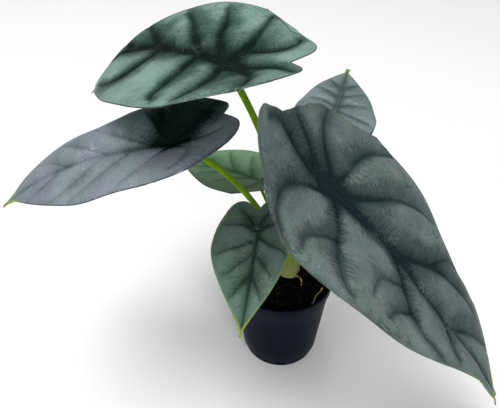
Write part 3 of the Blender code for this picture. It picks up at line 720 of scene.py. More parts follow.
def through(points, steps=8):
    """Smooth curve through given points."""
    points = np.array(points, dtype=float)
    padded = np.vstack([2 * points[0] - points[1], points, 2 * points[-1] - points[-2]])
    places = []
    for i in range(len(points) - 1):
        before, start, end, after = padded[i:i + 4]
        for t in np.arange(steps) / steps:
            places.append(0.5 * (2 * start + (end - before) * t
                                 + (2 * before - 5 * start + 4 * end - after) * t * t
                                 + (3 * start - before - 3 * end + after) * t ** 3))
    return np.vstack([*places, points[-1]])


def bezier(ends, handles, count):
    t = np.linspace(0, 1, count)[:, None]
    s = 1 - t
    first, last = (np.array(end, dtype=float) for end in ends)
    near, far = (np.array(handle, dtype=float) for handle in handles)
    return first * s ** 3 + near * 3 * s * s * t + far * 3 * s * t * t + last * t ** 3


def route_frames(route):
    """Directions along a route and two steady directions square to it."""
    along = np.gradient(route, axis=0)
    along /= np.linalg.norm(along, axis=1)[:, None]
    guide = np.array([0.0, 0.0, 1.0]) if abs(along[0][2]) < 0.9 else np.array([1.0, 0.0, 0.0])
    sides = []
    side = np.cross(along[0], guide)
    for direction in along:
        side = side - direction * np.dot(side, direction)
        side = side / np.linalg.norm(side)
        sides.append(side)
    sides = np.array(sides)
    return along, sides, np.cross(along, sides)


def roll_tube(route, radii, sides, groove=0.0, groove_side=(0.0, 0.0, 0.0)):
    """Wrap a grid round a route; a groove runs along one side of it."""
    rows = len(route) - 1
    piece = plain_grid(rows, sides)
    share, around = grid_places(piece)
    _along, first, second = route_frames(route)
    row = np.rint(share * rows).astype(int)
    angle = np.pi * around
    out = first[row] * np.cos(angle)[:, None] + second[row] * np.sin(angle)[:, None]
    facing = np.clip(out @ np.asarray(groove_side), 0, 1)
    size = np.asarray(radii)[row] * (1 - groove * facing ** GROOVE_POWER)
    set_places(piece, route[row] + out * size[:, None])
    add_value(piece, "run", share)
    return close_tube(piece)


# ---- blades: the flat pattern -----------------------------------------------------------
def by_side(across, left, right):
    return np.where(across < 0, left, right)


def rear_reach(across, leaf):
    """How far behind the stalk the rear edge lies, at a place -1..1 across the blade."""
    lobe = by_side(across, leaf["lobe_left"], leaf["lobe_right"])
    shoulder = LOBE_SHOULDER * lobe
    out = np.abs(across)
    turn = np.clip((out - LOBE_PLACE) / (1 - LOBE_PLACE), 0, 1)
    outer = shoulder + (lobe - shoulder) * np.sqrt(1 - turn ** 2)
    notch = leaf["notch"] * (leaf["lobe_left"] + leaf["lobe_right"]) / 2
    rise = np.sin(np.pi / 2 * np.clip(out / LOBE_PLACE, 0, 1))
    inner = notch + (lobe - notch) * rise
    return np.where(out > LOBE_PLACE, outer, inner)


def half_width(along, leaf):
    """Half width of the outline at a distance along the midrib, less the drip tip."""
    widest = leaf["widest"]
    rear = LOBE_SHOULDER * (leaf["lobe_left"] + leaf["lobe_right"]) / 2
    ahead = np.clip((along - widest) / (1 - widest), 0, 1)
    behind = np.clip((widest - along) / (widest + rear), 0, 1)
    front_shape = (1 - ahead ** FRONT_POWER) ** leaf["taper"]
    rear_shape = 1 - (1 - REAR_SHARE) * behind ** 2
    return np.where(along > widest, front_shape, rear_shape) * leaf["half_width"]


def flat_place(station, across, leaf, margins=None):
    """Flat pattern of the blade: places along and across its midrib."""
    reach = rear_reach(across, leaf)
    if margins:
        reach = reach * eased(across, margins["rear"])
    along = -reach * (1 - station) + station
    lobe = by_side(across, leaf["lobe_left"], leaf["lobe_right"])
    edge = -LOBE_SHOULDER * lobe * (1 - station) + station
    width = half_width(edge, leaf) * by_side(across, leaf["side_left"], leaf["side_right"])
    if margins:
        width = width * by_side(across, eased(station, margins["left"]),
                                eased(station, margins["right"]))
    width = np.maximum(width, leaf["tail_width"])
    along = along + leaf["tail"] * np.clip((station - TAIL_START) / (1 - TAIL_START), 0, 1)
    return along, across * width


# ---- blades: the bent form --------------------------------------------------------------
def spine(leaf):
    """Stations along the midrib, with its places, normals and sideways directions."""
    rear = (leaf["lobe_left"] + leaf["lobe_right"]) / 2
    past_rear, past_tip = SPINE_PAST
    run = np.linspace(-past_rear * rear, 1 + past_tip * leaf["tail"], SPINE_STEPS)
    ahead = np.clip(run, 0, None)
    behind = np.clip(-run / rear, 0, None)
    pitch = leaf["pitch"] - leaf["droop"] * ahead ** leaf["droop_power"]
    pitch = np.radians(pitch + leaf["rear_rise"] * behind)
    turn = leaf["heading"] + leaf["swing"] * ahead + leaf["rear_swing"] * behind
    turn = np.radians(turn)
    forward = np.stack([np.cos(pitch) * np.cos(turn), np.cos(pitch) * np.sin(turn),
                        np.sin(pitch)], axis=1)
    normal = np.stack([-np.sin(pitch) * np.cos(turn), -np.sin(pitch) * np.sin(turn),
                       np.cos(pitch)], axis=1)
    side = np.cross(forward, normal)
    roll = np.radians(leaf["roll"] + leaf["twist"] * (ahead - rear * behind))[:, None]
    rolled = normal * np.cos(roll) + side * np.sin(roll)
    side = side * np.cos(roll) - normal * np.sin(roll)
    steps = (forward[1:] + forward[:-1]) / 2 * (run[1] - run[0])
    place = np.concatenate([np.zeros((1, 3)), np.cumsum(steps, axis=0)])
    place -= at_station(run, place, 0.0)
    return run, place, rolled, side


def at_station(run, values, where):
    columns = [np.interp(where, run, values[:, axis]) for axis in range(3)]
    return np.stack(columns, axis=-1)


def bent(along, across, leaf):
    """Bend the flat pattern: droop and twist along the midrib, fold and curl across it."""
    run, place, normal, side = spine(leaf)
    rear = (leaf["lobe_left"] + leaf["lobe_right"]) / 2
    width = leaf["half_width"]
    ahead = np.clip(along, 0, 1)
    behind = np.clip(-along / rear, 0, REAR_FOLD_END)
    opening = np.where(along >= 0, 1 + (leaf["fold_tip"] - 1) * ahead,
                       1 + (leaf["fold_rear"] - 1) * behind)
    fold = np.radians(by_side(across, leaf["fold_left"], leaf["fold_right"])) * opening
    curl = np.radians(by_side(across, leaf["curl_left"], leaf["curl_right"])) / width
    curl = np.where(np.abs(curl) < FLATTEST_CURL, FLATTEST_CURL, curl)
    out = np.abs(across)
    sideways = (np.sin(fold) - np.sin(fold - curl * out)) / curl
    upward = (np.cos(fold - curl * out) - np.cos(fold)) / curl
    wave = math.tau * RIPPLE_COUNT * along + np.radians(leaf["ripple_phase"])
    wave = wave + by_side(across, 0.0, RIPPLE_OFFSET)
    upward = upward + leaf["ripple"] * (out / width) ** 2 * np.sin(wave)
    middle = at_station(run, place, along)
    return (middle + at_station(run, side, along) * (np.sign(across) * sideways)[:, None]
            + at_station(run, normal, along) * upward[:, None])


def blade_place(node):
    """The blade's length and the place of its stalk's joint, from its box in the frame."""
    leaf = LEAVES[node]
    stations, places = BLADE_CHECKS
    station, across = np.meshgrid(np.linspace(0, 1, stations), np.linspace(-1, 1, places))
    along, across = flat_place(station.ravel(), across.ravel(), leaf)
    form = bent(along, across, leaf)
    low, high = (np.array(corner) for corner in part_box(node))
    span = form.max(axis=0) - form.min(axis=0)
    length = np.dot(high - low - CAD_SKIN, span) / np.dot(span, span)
    joint = (high + low) / 2 - length * (form.max(axis=0) + form.min(axis=0)) / 2
    return length, joint


# ---- blades: veins ----------------------------------------------------------------------
def to_line(points, line):
    """Distance from each point to a line, how far along it is, and 1 or -1 for its side."""
    start, step = line[:-1], line[1:] - line[:-1]
    size = np.linalg.norm(step, axis=1)
    before = np.concatenate([[0.0], np.cumsum(size)[:-1]])
    offset = points[:, None, :] - start[None, :, :]
    share = np.clip((offset * step).sum(axis=2) / size ** 2, 0, 1)
    gaps = np.linalg.norm(offset - share[:, :, None] * step, axis=2)
    nearest = gaps.argmin(axis=1)
    rows = np.arange(len(points))
    closeness = np.exp((gaps.min(axis=1)[:, None] ** 2 - gaps ** 2) / (2 * RUN_BLUR ** 2))
    run = (closeness * (before + share * size)).sum(axis=1) / closeness.sum(axis=1)
    near, ahead = offset[rows, nearest], step[nearest]
    turn = np.sign(ahead[:, 0] * near[:, 1] - ahead[:, 1] * near[:, 0])
    return gaps[rows, nearest], run, turn


def vein_width(share, wide, fine):
    return eased(share, [(0.0, VEIN_START * wide), (VEIN_WIDEST, wide), (1.0, fine)])


def vein_fields(flat, node, length):
    """How deep in a vein, how near one and how far along the nearest two each point lies."""
    open_valley, open_hollow = np.ones(len(flat)), np.ones(len(flat))
    core = np.zeros(len(flat))
    distances, runs = [], []
    for (wide, fine, deep, lean), marks in VEINS[node]:
        line = through(np.array(marks) * length)
        gap, run, turn = to_line(flat, line)
        share = run / run.max()
        width = vein_width(share, wide, fine) * MM * FINISHES[node]["vein_size"]
        depth = deep * (1 - VEIN_FADE * share ** 2)
        rearward = turn * np.sign(line[-1, 1] - line[0, 1]) * lean
        slope = SLOPE_REACH * width * (1 + SLOPE_LEAN * rearward)
        valley = width * (1 + VALLEY_LEAN * rearward)
        open_valley *= 1 - depth * np.exp(-(gap / valley) ** 2)
        open_hollow *= 1 - SLOPE_DEPTH * depth * np.exp(-(gap / slope) ** 2)
        strength = deep * (1 - CORE_FADE * share)
        core = np.maximum(core, strength * np.exp(-(gap / (CORE_WIDTH * width)) ** 2))
        distances.append(gap)
        runs.append(run)
    return dict(valley=1 - open_valley, hollow=1 - open_hollow, core=core,
                **pillow_fields(np.array(distances), np.array(runs)))


def pillow_fields(distances, runs):
    """Place of each point on the pillow between its two nearest veins."""
    order = np.argsort(distances, axis=0)
    points = np.arange(distances.shape[1])
    near, next_near = distances[order[0], points], distances[order[1], points]
    rung = runs[order[0], points] - RUN_BOW * near ** 2
    return dict(rung=rung, crest=2 * near / (near + next_near + TINY), near=near)


def painted_shade_depth(flat, node, length):
    """How far each point lies in a patch of painted shade, 0 to 1."""
    open_ground = np.ones(len(flat))
    for along, across, long_reach, wide_reach, strength in PAINTED_SHADE_PATCHES.get(node, []):
        away = (flat / length - (along, across)) / (long_reach, wide_reach)
        open_ground *= 1 - strength * np.exp(-(away ** 2).sum(axis=1) ** SHADE_PATCH_POWER)
    return 1 - open_ground


def margin_distance(flat, outline):
    """Distance from each point to the blade's outline."""
    nearest = np.full(len(flat), np.inf)
    for start in range(0, len(outline) - 1, OUTLINE_CHUNK):
        gap, _run, _turn = to_line(flat, outline[start:start + OUTLINE_CHUNK + 1])
        nearest = np.minimum(nearest, gap)
    return nearest


def outline_of(node, leaf, length):
    """The blade's outline in its flat pattern, once round."""
    long_marks, cross_marks = OUTLINE_MARKS
    ramp, side = np.linspace(0, 1, long_marks), np.linspace(-1, 1, cross_marks)
    front, rear = np.ones(cross_marks), np.zeros(cross_marks)
    left, right = -np.ones(long_marks), np.ones(long_marks)
    stations = np.concatenate([ramp, front, ramp[::-1], rear])
    acrosses = np.concatenate([left, side, right, side[::-1]])
    along, across = flat_place(stations, acrosses, leaf, MARGINS.get(node))
    line = np.stack([along, across], axis=1) * length
    step = np.linalg.norm(np.diff(line, axis=0), axis=1)
    return line[np.concatenate([[True], step > SEAM_GAP])]


def blade_relief(fields, finish, depth_scale):
    """Height of the blade's upper side over its plain form."""
    relief = finish["relief"] * MM * depth_scale
    pillow = 1 - VALLEY_SHARE * fields["valley"] - SLOPE_SHARE * fields["hollow"]
    crease = np.exp(-((fields["edge"] - CREASE_PLACE) / CREASE_WIDTH) ** 2)
    inside = smooth(fields["edge"] / MARGIN_REACH)
    height = relief * (pillow - PILLOW_LEVEL) * (MARGIN_RELIEF + (1 - MARGIN_RELIEF) * inside)
    return height - CREASE_DEPTH * relief * crease


def blade_fields(node, along, across, length, form):
    """What the blade's relief and materials need to know of each point."""
    flat = np.stack([along, across], axis=1) * length
    outline = outline_of(node, LEAVES[node], length)
    tip = form[along.argmax()]
    return dict(vein_fields(flat, node, length), edge=margin_distance(flat, outline),
                tip=np.linalg.norm(form - tip, axis=1), painted_shade=painted_shade_depth(flat, node, length))


def make_blade(node):
    leaf, finish = LEAVES[node], FINISHES[node]
    blades = settings("alocasia_blades")
    length, joint = blade_place(node)
    rows, columns = finish["grid"]
    piece = plain_grid(rows, columns)
    station, place = grid_places(piece)
    along, across = flat_place(station, place, leaf, MARGINS.get(node))
    form = bent(along, across, leaf)
    places = form * length + joint
    set_places(piece, places)
    fields = blade_fields(node, along, across, length, form)
    normals = np.empty(places.size, dtype=np.float32)
    piece.data.vertex_normals.foreach_get("vector", normals)
    height = blade_relief(fields, finish, blades.relief)
    set_places(piece, places + normals.reshape(-1, 3) * height[:, None])
    for name, values in fields.items():
        add_value(piece, name, values)
    thicken_blade(piece, fields["core"], blades)
    materials = [upper_material(node, finish), under_material(node, finish),
                 rim_material(node, finish)]
    return keep(piece, node + "_blade", materials, (node,))


def thicken_blade(piece, core, blades):
    """Give the blade its thickness below its upper side, thicker along the ribs."""
    ribs = piece.vertex_groups.new(name="ribs")
    weights = blades.thin_share + (1 - blades.thin_share) * core
    steps = np.rint(weights * RIB_STEPS).astype(int)
    for step in np.unique(steps):
        chosen = np.nonzero(steps == step)[0]
        ribs.add(chosen.tolist(), float(step / RIB_STEPS), "REPLACE")
    thick = piece.modifiers.new("thickness", "SOLIDIFY")
    thick.thickness = blades.thickness
    thick.offset = -1.0
    thick.vertex_group = ribs.name
    thick.material_offset = 1
    thick.material_offset_rim = 2
    for _side in ("upper", "underside", "rim"):
        piece.data.materials.append(None)
    apply_modifier(piece, thick)


# ---- blades: materials ------------------------------------------------------------------
# How much each pattern darkens or clouds the tone of a blade's upper side, from its start: valley
# and hollow give the leaf's own darker colour by its veins together with painted shade down the
# veins' slopes, comb and wrinkles paint shade into the fine creases, and the dark patches paint cast
# shade.
TONE = dict(start=0.96, valley=0.46, hollow=0.80, painted_shade=1.05, cloudy=0.65, grain=0.62,
            comb=0.05, wrinkles=0.24)
# How much each pattern stands out or lies sunk in the upper side's fine relief.
SKIN = dict(skin=0.35, grain=0.9, comb=0.45, wrinkles=1.3, crease=0.15)
SKIN_DEPTH = 0.35 * MM
TONE_STOPS = (("valley", 0.02), ("shade", 0.32), ("body", 0.64), ("crest", 1.0))
CHALK = (0.50, 0.54, 0.56)      # colour of the dry specks on a blade
CREASE_LINE, CREASE_SPREAD = 3.6 * MM, 1.2 * MM     # the dark line in the margin's crease
CREASE_WANDER = 1.2 * MM        # how far that line wanders
CREASE_SHADE = 0.12             # how dark it is
EDGE_BAND = (0.2 * MM, 1.3 * MM)                    # the edge's colour fades over this band
EDGE_STRENGTH = 0.8
LIME_EDGE = (0.6 * MM, 2.0 * MM)                    # and the lime along the margins over this
LIME_WHOLE, LIME_FRINGE = (0.5, 1.2), (1.4, 3.4)    # where the lime fades, of its reach
WRINKLE_STRETCH = 0.20          # a wrinkle is this much finer along the pillow than across
WRINKLE_WIDTH = 0.13            # its width, of the distance to the next one
MIDDLE = 0.5                    # a noise's mean value


def on_pillow(graph, start, end):
    """1 on a pillow, fading to 0 by its veins and over its middle line."""
    crest = graph.attribute("crest")
    return graph.rise(crest, *start) * (1.0 - graph.rise(crest, *end))


def comb_pattern(graph, gap):
    """Fine creases that arch from a vein across the pillow beside it, 1 in a crease."""
    turns = graph.attribute("rung") * (math.tau / gap) + graph.noise(55.0, 2.0) * 9.0
    wave = graph.maths("SINE", turns) * 0.5 + 0.5
    patches = graph.rise(graph.noise(60.0, 2.0), 0.42, 0.60)
    return wave ** 2.0 * on_pillow(graph, (0.10, 0.35), (0.88, 1.0)) * (0.10 + 0.90 * patches)


def wrinkle_pattern(graph, gap):
    """Long wrinkles that cross a pillow and branch, 1 in a wrinkle."""
    wobble = graph.noise(100.0, 3.0) - MIDDLE
    along = graph.attribute("rung") * (1.0 / gap) + wobble * 0.9
    away = graph.attribute("near") * (WRINKLE_STRETCH / gap) + wobble * 0.5
    places = graph.node("ShaderNodeCombineXYZ", {}, {"X": along, "Y": away})
    cells = graph.node("ShaderNodeTexVoronoi",
                       {"feature": "DISTANCE_TO_EDGE", "voronoi_dimensions": "2D"},
                       {"Vector": places, "Scale": 1.0, "Randomness": 0.85}, "Distance")
    line = 1.0 - graph.rise(cells, 0.0, WRINKLE_WIDTH)
    patches = graph.rise(graph.noise(55.0, 2.0), 0.40, 0.66)
    return line * on_pillow(graph, (0.08, 0.30), (0.86, 0.99)) * (0.15 + 0.85 * patches)


def lime_share(graph, reach):
    """1 at a blade's tip, and along its margins for a while behind it."""
    tip, edge = graph.attribute("tip"), graph.attribute("edge")
    whole, fringe = (1.0 - graph.rise(tip, start * reach, end * reach)
                     for start, end in (LIME_WHOLE, LIME_FRINGE))
    fringe = fringe * (1.0 - graph.rise(edge, *LIME_EDGE))
    return graph.maths("MAXIMUM", whole, fringe)


def upper_patterns(graph, finish):
    """The fields and patterns that a blade's upper side is coloured by."""
    blades = settings("alocasia_blades")
    patterns = {name: graph.attribute(name)
                for name in ("valley", "hollow", "core", "edge", "painted_shade")}
    patterns["cloudy"] = graph.noise(45.0, 4.0, 0.6)
    patterns["grain"] = graph.noise(700.0, 3.0, 0.65)
    patterns["comb"] = comb_pattern(graph, blades.rung_gap) * finish["rungs"]
    patterns["wrinkles"] = wrinkle_pattern(graph, blades.wrinkle_gap) * finish["wrinkles"]
    patterns["crease"] = graph.line(patterns["edge"] + patterns["grain"] * CREASE_WANDER,
                                    CREASE_LINE, CREASE_SPREAD)
    return patterns


def upper_tone(finish, valley, hollow, painted_shade, cloudy, grain, comb, wrinkles, **_others):
    """How light each point is, from the bottom of a valley to the crest of a pillow: the veins' own
    darker colour with painted shade on their slopes, in the creases and in the dark patches, and
    painted highlight towards the crests.
    """
    veins = (valley * TONE["valley"] + hollow * TONE["hollow"]) * finish["veining"]
    # the dark patches take off painted shade: the shadow of the leaf above and the shade round the
    # stalk's joint
    tone = TONE["start"] - veins - painted_shade * TONE["painted_shade"]
    tone = tone + (cloudy - MIDDLE) * TONE["cloudy"] + (grain - MIDDLE) * TONE["grain"]
    return tone - comb * TONE["comb"] - wrinkles * TONE["wrinkles"]


def pillow_colour(graph, finish, tone, core):
    """Colour of valleys and pillows, from the dark veins and painted shade up to the pale pillows
    and painted highlight, with the tint in patches and lines along the veins.
    """
    colour = graph.ramp(tone, [(place, finish[name]) for name, place in TONE_STOPS])
    tinted = graph.rise(graph.noise(22.0, 2.0), 0.44, 0.62) * graph.rise(tone, 0.3, 0.8)
    colour = graph.mix(tinted * finish["tinting"], colour, finish["tint"])
    seam = graph.rise(core, 0.20, 0.75) * finish["seam"]
    colour = graph.mix(seam, colour, finish["valley"])
    ridge = graph.rise(core, 0.35, 0.75) * finish["ridge"]
    return graph.mix(ridge, colour, finish["crest"])


def margin_colour(graph, finish, colour, edge, crease):
    """Lay the crease, the coloured edge and the lime tip over the blade's colour."""
    colour = graph.mix(crease * CREASE_SHADE, colour, finish["valley"])
    rim = 1.0 - graph.rise(edge, *EDGE_BAND)
    colour = graph.mix(rim * EDGE_STRENGTH, colour, finish["edge"])
    return graph.mix(lime_share(graph, finish["lime"]), colour, finish["tip"])


def chalk_specks(graph, cloudy, wrinkles, painted_shade):
    """Dry pale specks, in clouds and along the wrinkles, but not in the painted shade."""
    chalk = graph.rise(graph.noise(1200.0, 2.0, 0.6), 0.60, 0.70)
    chalk = chalk * graph.rise(cloudy, 0.48, 0.60) + wrinkles * graph.rise(cloudy, 0.58, 0.66)
    return chalk * (1.0 - graph.rise(painted_shade, 0.1, 0.5))


def upper_material(node, finish):
    graph = Graph(node + "_upper")
    patterns = upper_patterns(graph, finish)
    cloudy, grain, wrinkles = (patterns[name] for name in ("cloudy", "grain", "wrinkles"))
    comb, crease = patterns["comb"], patterns["crease"]
    tone = upper_tone(finish, **patterns)
    colour = pillow_colour(graph, finish, tone, patterns["core"])
    colour = margin_colour(graph, finish, colour, patterns["edge"], crease)
    chalk = chalk_specks(graph, cloudy, wrinkles, patterns["painted_shade"])
    colour = graph.mix(chalk * finish["specks"], colour, CHALK)
    height = (graph.noise(1500.0, 3.0, 0.6) * SKIN["skin"] + grain * SKIN["grain"]
              - comb * SKIN["comb"] - wrinkles * SKIN["wrinkles"] - crease * SKIN["crease"])
    return graph.finish(
        base_color=colour, roughness=0.44 + grain * 0.14 - tone * 0.05,
        specular_ior_level=finish["gloss"], normal=graph.bump(height, SKIN_DEPTH, 0.9))


def under_material(node, finish):
    blades = settings("alocasia_blades")
    graph = Graph(node + "_underside")
    cloudy = graph.noise(60.0, 3.0)
    ribs = graph.rise(graph.attribute("core"), 0.08, 0.5)
    darker = tuple(0.62 * channel for channel in blades.underside)
    colour = graph.mix(graph.rise(cloudy, 0.3, 0.7), darker, blades.underside)
    colour = graph.mix(ribs, colour, blades.under_vein)
    net = graph.noise(420.0, 3.0)
    return graph.finish(base_color=colour, roughness=0.50 + cloudy * 0.12,
                        specular_ior_level=0.3, normal=graph.bump(net, 0.15 * MM, 0.6))


def rim_material(node, finish):
    graph = Graph(node + "_rim")
    lime = lime_share(graph, finish["lime"])
    streaks = graph.noise(300.0, 2.0)
    colour = graph.mix(lime, finish["edge"], finish["tip"])
    colour = graph.mix(streaks * 0.4, colour, finish["valley"])
    return graph.finish(base_color=colour, roughness=0.5 + streaks * 0.1)


# ---- stalks -----------------------------------------------------------------------------
def stalk_facing(stalk):
    """Level direction from the stem's middle to the stalk."""
    angle = math.radians(stalk["angle"])
    return Vector((math.cos(angle), math.sin(angle), 0.0))


def stalk_route(stalk):
    """Middle line of a stalk from the stem's top to the underside of its blade."""
    _length, joint = blade_place(stalk["leaf"])
    run, _place, normal, _side = spine(LEAVES[stalk["leaf"]])
    up = Vector(at_station(run, normal, 0.0)).normalized()
    relief = FINISHES[stalk["leaf"]]["relief"] * MM
    arrive = Vector(stalk["arrive"]).normalized()
    lean = Vector(stalk["lean"]).normalized()
    radius = stalk["radius"] * MM
    ring = STEM_RADIUS * STEM_TOP_SHARE * STALK_RING
    base = Vector((STEM_X, STEM_Y, STEM_TOP - STALK_ROOT)) + stalk_facing(stalk) * ring
    sunk = PILLOW_LEVEL * relief + radius * math.sin(arrive.angle(up)) + STALK_GAP
    seat = Vector(joint) - up * sunk
    handles = (base + lean * stalk["rise"], seat - arrive * stalk["reach"])
    return bezier((base, seat), handles, STALK_MARKS)


def stalk_radii(stalk, share):
    """Radius along a stalk: a flared foot, an even rod and a swelling under the blade."""
    base, radius = stalk["base"] * MM, stalk["radius"] * MM
    even = base + (radius - base) * np.clip(share * EVEN_PARTS, 0, 1)
    foot = 1 + FOOT_FLARE * (1 - np.clip(share * FLARE_PARTS, 0, 1)) ** 2
    top = np.clip((share - SWELLING_START) / (1 - SWELLING_START), 0, 1)
    waves = 1 + sum(height * np.sin(share * turns) for height, turns in STALK_WAVES)
    return even * foot * (1 + SWELLING * top ** 2) * waves


def make_stalk(name, stalk):
    route = stalk_route(stalk)
    radii = stalk_radii(stalk, np.linspace(0, 1, len(route)))
    inward = STALK_INWARD_RISE - stalk_facing(stalk)
    piece = roll_tube(route, radii, STALK_SIDES, STALK_GROOVE, inward)
    return keep(piece, name + "_stalk", [stalk_material(name)], (name,))


def stalk_material(name):
    stalks = settings("alocasia_stalks")
    graph = Graph(name + "_skin")
    streaks = graph.noise(190.0, 3.0, 0.6, stretch=(1.0, 1.0, 0.10))
    flecks = graph.noise(1300.0, 2.0, 0.6, stretch=(1.0, 1.0, 0.25))
    run = graph.attribute("run")
    colour = graph.mix(graph.rise(streaks, 0.42, 0.72), stalks.colour, stalks.shade_colour)
    colour = graph.mix(1.0 - graph.rise(run, 0.0, 0.22), colour, stalks.base_colour)
    colour = graph.mix(graph.rise(flecks, 0.62, 0.75) * 0.35, colour, stalks.base_colour)
    return graph.finish(base_color=colour, roughness=0.34 + streaks * 0.14,
                        specular_ior_level=0.06,
                        normal=graph.bump(streaks * 0.6 + flecks * 0.4, 0.12 * MM, 0.7))


# ---- stem -------------------------------------------------------------------------------
def turned(profile, sides, centre=(0.0, 0.0)):
    """Raise a ring through (radius, height) points by extruding and resizing it."""
    deselect()
    radius, height = profile[0]
    bpy.ops.mesh.primitive_circle_add(vertices=sides, radius=radius,
                                      location=(*centre, height))
    piece = bpy.context.object
    edit(piece)
    for new_radius, new_height in profile[1:]:
        bpy.ops.mesh.extrude_region_move(
            TRANSFORM_OT_translate={"value": (0, 0, new_height - height)})
        scale = new_radius / radius
        bpy.ops.transform.resize(value=(scale, scale, 1.0), center_override=(*centre, 0.0))
        radius, height = new_radius, new_height
    bpy.ops.object.mode_set(mode="OBJECT")
    bpy.ops.object.transform_apply(location=True, rotation=True, scale=True)
    return piece


def stem_material():
    stem = settings("alocasia_stem")
    graph = Graph("stem_skin")
    height = graph.height()
    streaks = graph.noise(260.0, 3.0, 0.6, stretch=(1.0, 1.0, 0.12))
    climb = graph.rise(height + streaks * 0.010, SOIL_TOP + 0.006, STEM_TOP)
    colour = graph.mix(climb, stem.pale, stem.green)
    colour = graph.mix(graph.rise(streaks, 0.50, 0.72) * 0.6, colour, stem.husk)
    return graph.finish(base_color=colour, roughness=0.42 + streaks * 0.16,
                        specular_ior_level=0.4, normal=graph.bump(streaks, 0.25 * MM, 0.8))


def make_stem_core(material):
    profile = [(STEM_RADIUS * share, SOIL_TOP + height * MM) for share, height in STEM_RINGS]
    piece = close_openings(turned(profile, sides=40, centre=(STEM_X, STEM_Y)))
    for corner in piece.data.vertices:
        out = Vector((corner.co.x - STEM_X, corner.co.y - STEM_Y))
        around = math.atan2(out.y, out.x)
        swell = 1 + STEM_SWELL * math.sin(3 * around + STEM_TWIST * corner.co.z)
        corner.co.x = STEM_X + out.x * swell
        corner.co.y = STEM_Y + out.y * swell
    return keep(piece, "stem_core", [material], ("stem_base",))


def sheath_middle(route, share, lowest, reach):
    """Middle line of a sheath, from the stem's onto its stalk's, and how far it has gone over."""
    step = np.linalg.norm(np.diff(route, axis=0), axis=1).mean()
    above = np.interp(share, [0.0, 0.5, 1.0], [0.0, 0.0, reach])
    row = np.clip(above / step, 0, len(route) - 1)
    stalk_axis = at_station(np.arange(len(route)), route, row)
    climb = lowest + (STEM_TOP - lowest) * np.clip(share * 2, 0, 1)
    stem_axis = np.stack([np.full_like(share, STEM_X), np.full_like(share, STEM_Y), climb],
                         axis=1)
    blend = smooth((share - SHEATH_LEAVES) / SHEATH_PASSAGE)
    return stem_axis * (1 - blend[:, None]) + stalk_axis * blend[:, None], blend


def make_sheath(name, stalk, foot, reach, opening, material):
    """Leaf sheath: a shell that hugs the stem and narrows onto its stalk."""
    piece = plain_grid(*SHEATH_GRID)
    share, around = grid_places(piece)
    middle, blend = sheath_middle(stalk_route(stalk), share, SOIL_TOP + foot * MM, reach * MM)
    narrow = stalk["radius"] * MM * SHEATH_TOP + SHEATH_GAP
    size = STEM_RADIUS * SHEATH_HUG * (1 - blend) + narrow * blend
    width = np.radians(opening) * (1 - SHEATH_TAPER * share ** 2)
    angle = math.radians(stalk["angle"]) + around * width
    flare = 1 + SHEATH_FLARE * np.abs(around) ** 3
    out = np.stack([np.cos(angle), np.sin(angle), np.zeros_like(angle)], axis=1)
    set_places(piece, middle + out * (size * flare)[:, None])
    add_value(piece, "run", share)
    thick = piece.modifiers.new("thickness", "SOLIDIFY")
    thick.thickness = SHEATH_THICKNESS
    thick.offset = 0.0
    apply_modifier(piece, thick)
    return keep(piece, name, [material])


# ---- pot --------------------------------------------------------------------------------
def wall_at(height):
    """Outer radius of the pot's wall between its foot and its rim band."""
    low, high = POT_RADIUS * FOOT_SHARE, POT_RADIUS * BAND_SHARE
    return low + (high - low) * (height - POT_FOOT) / (POT_BAND - POT_FOOT)


def pot_profile(wall):
    """Outside from the middle of the underside up to the rim, then down the inside."""
    foot, band, top, out = POT_FOOT, POT_BAND, POT_HEIGHT, POT_RADIUS
    heel = wall_at(foot) - HEEL_STEP
    return [
        (0.5 * MM, 0.6 * MM), (heel - 3.2 * MM, 0.6 * MM), (heel - 2.6 * MM, 0.0),
        (heel - 0.6 * MM, 0.0), (heel - 0.1 * MM, 0.5 * MM), (heel, foot - 0.5 * MM),
        (heel + 0.4 * MM, foot - 0.1 * MM), (wall_at(foot) - 0.3 * MM, foot),
        (wall_at(foot), foot + 0.4 * MM), (wall_at(20 * MM), 20 * MM),
        (wall_at(40 * MM), 40 * MM), (wall_at(60 * MM), 60 * MM),
        (wall_at(band - 0.5 * MM), band - 0.5 * MM), (wall_at(band) + 0.2 * MM, band - 0.1 * MM),
        (out - 0.4 * MM, band), (out - 0.05 * MM, band + 0.4 * MM),
        (out - 0.15 * MM, top - 2.2 * MM), (out, top - 1.6 * MM), (out, top - 0.6 * MM),
        (out - 0.25 * MM, top - 0.15 * MM), (out - wall / 2, top),
        (out - wall + 0.2 * MM, top - 0.15 * MM), (out - wall, top - 0.6 * MM),
        (out - wall - 0.1 * MM, band + wall), (wall_at(band) - wall, band - 0.2 * MM),
        (wall_at(40 * MM) - wall, 40 * MM), (wall_at(foot + wall) - wall, foot + wall),
        (heel - wall, foot + wall - 0.2 * MM), (heel - wall, INNER_FLOOR), (0.5 * MM, INNER_FLOOR),
    ]


def make_pot():
    pot = settings("alocasia_pot")
    piece = close_openings(turned(pot_profile(pot.wall), sides=120))
    for number in range(DRAIN_SLOTS):
        cut_drain_slot(piece, math.tau * (number + 0.5) / DRAIN_SLOTS)
    return keep(piece, "pot_shell", [pot_material()], ("pot",))


def cut_drain_slot(piece, angle):
    """Cut one rounded slot through the foot of the pot."""
    deselect()
    bpy.ops.mesh.primitive_cube_add(size=1.0)
    cutter = bpy.context.object
    out = wall_at(POT_FOOT) - SLOT_INSET
    cutter.scale = SLOT_SIZE
    cutter.rotation_euler = (0.0, 0.0, angle)
    cutter.location = (out * math.cos(angle), out * math.sin(angle), SLOT_SIZE[2])
    bpy.ops.object.transform_apply(location=True, rotation=True, scale=True)
    edit(cutter)
    bpy.ops.mesh.bevel(offset=SLOT_ROUNDING, segments=3, affect="EDGES")
    bpy.ops.object.mode_set(mode="OBJECT")
    cut = piece.modifiers.new("drain slot", "BOOLEAN")
    cut.operation = "DIFFERENCE"
    cut.solver = "EXACT"
    cut.object = cutter
    apply_modifier(piece, cut)
    bpy.data.objects.remove(cutter, do_unlink=True)


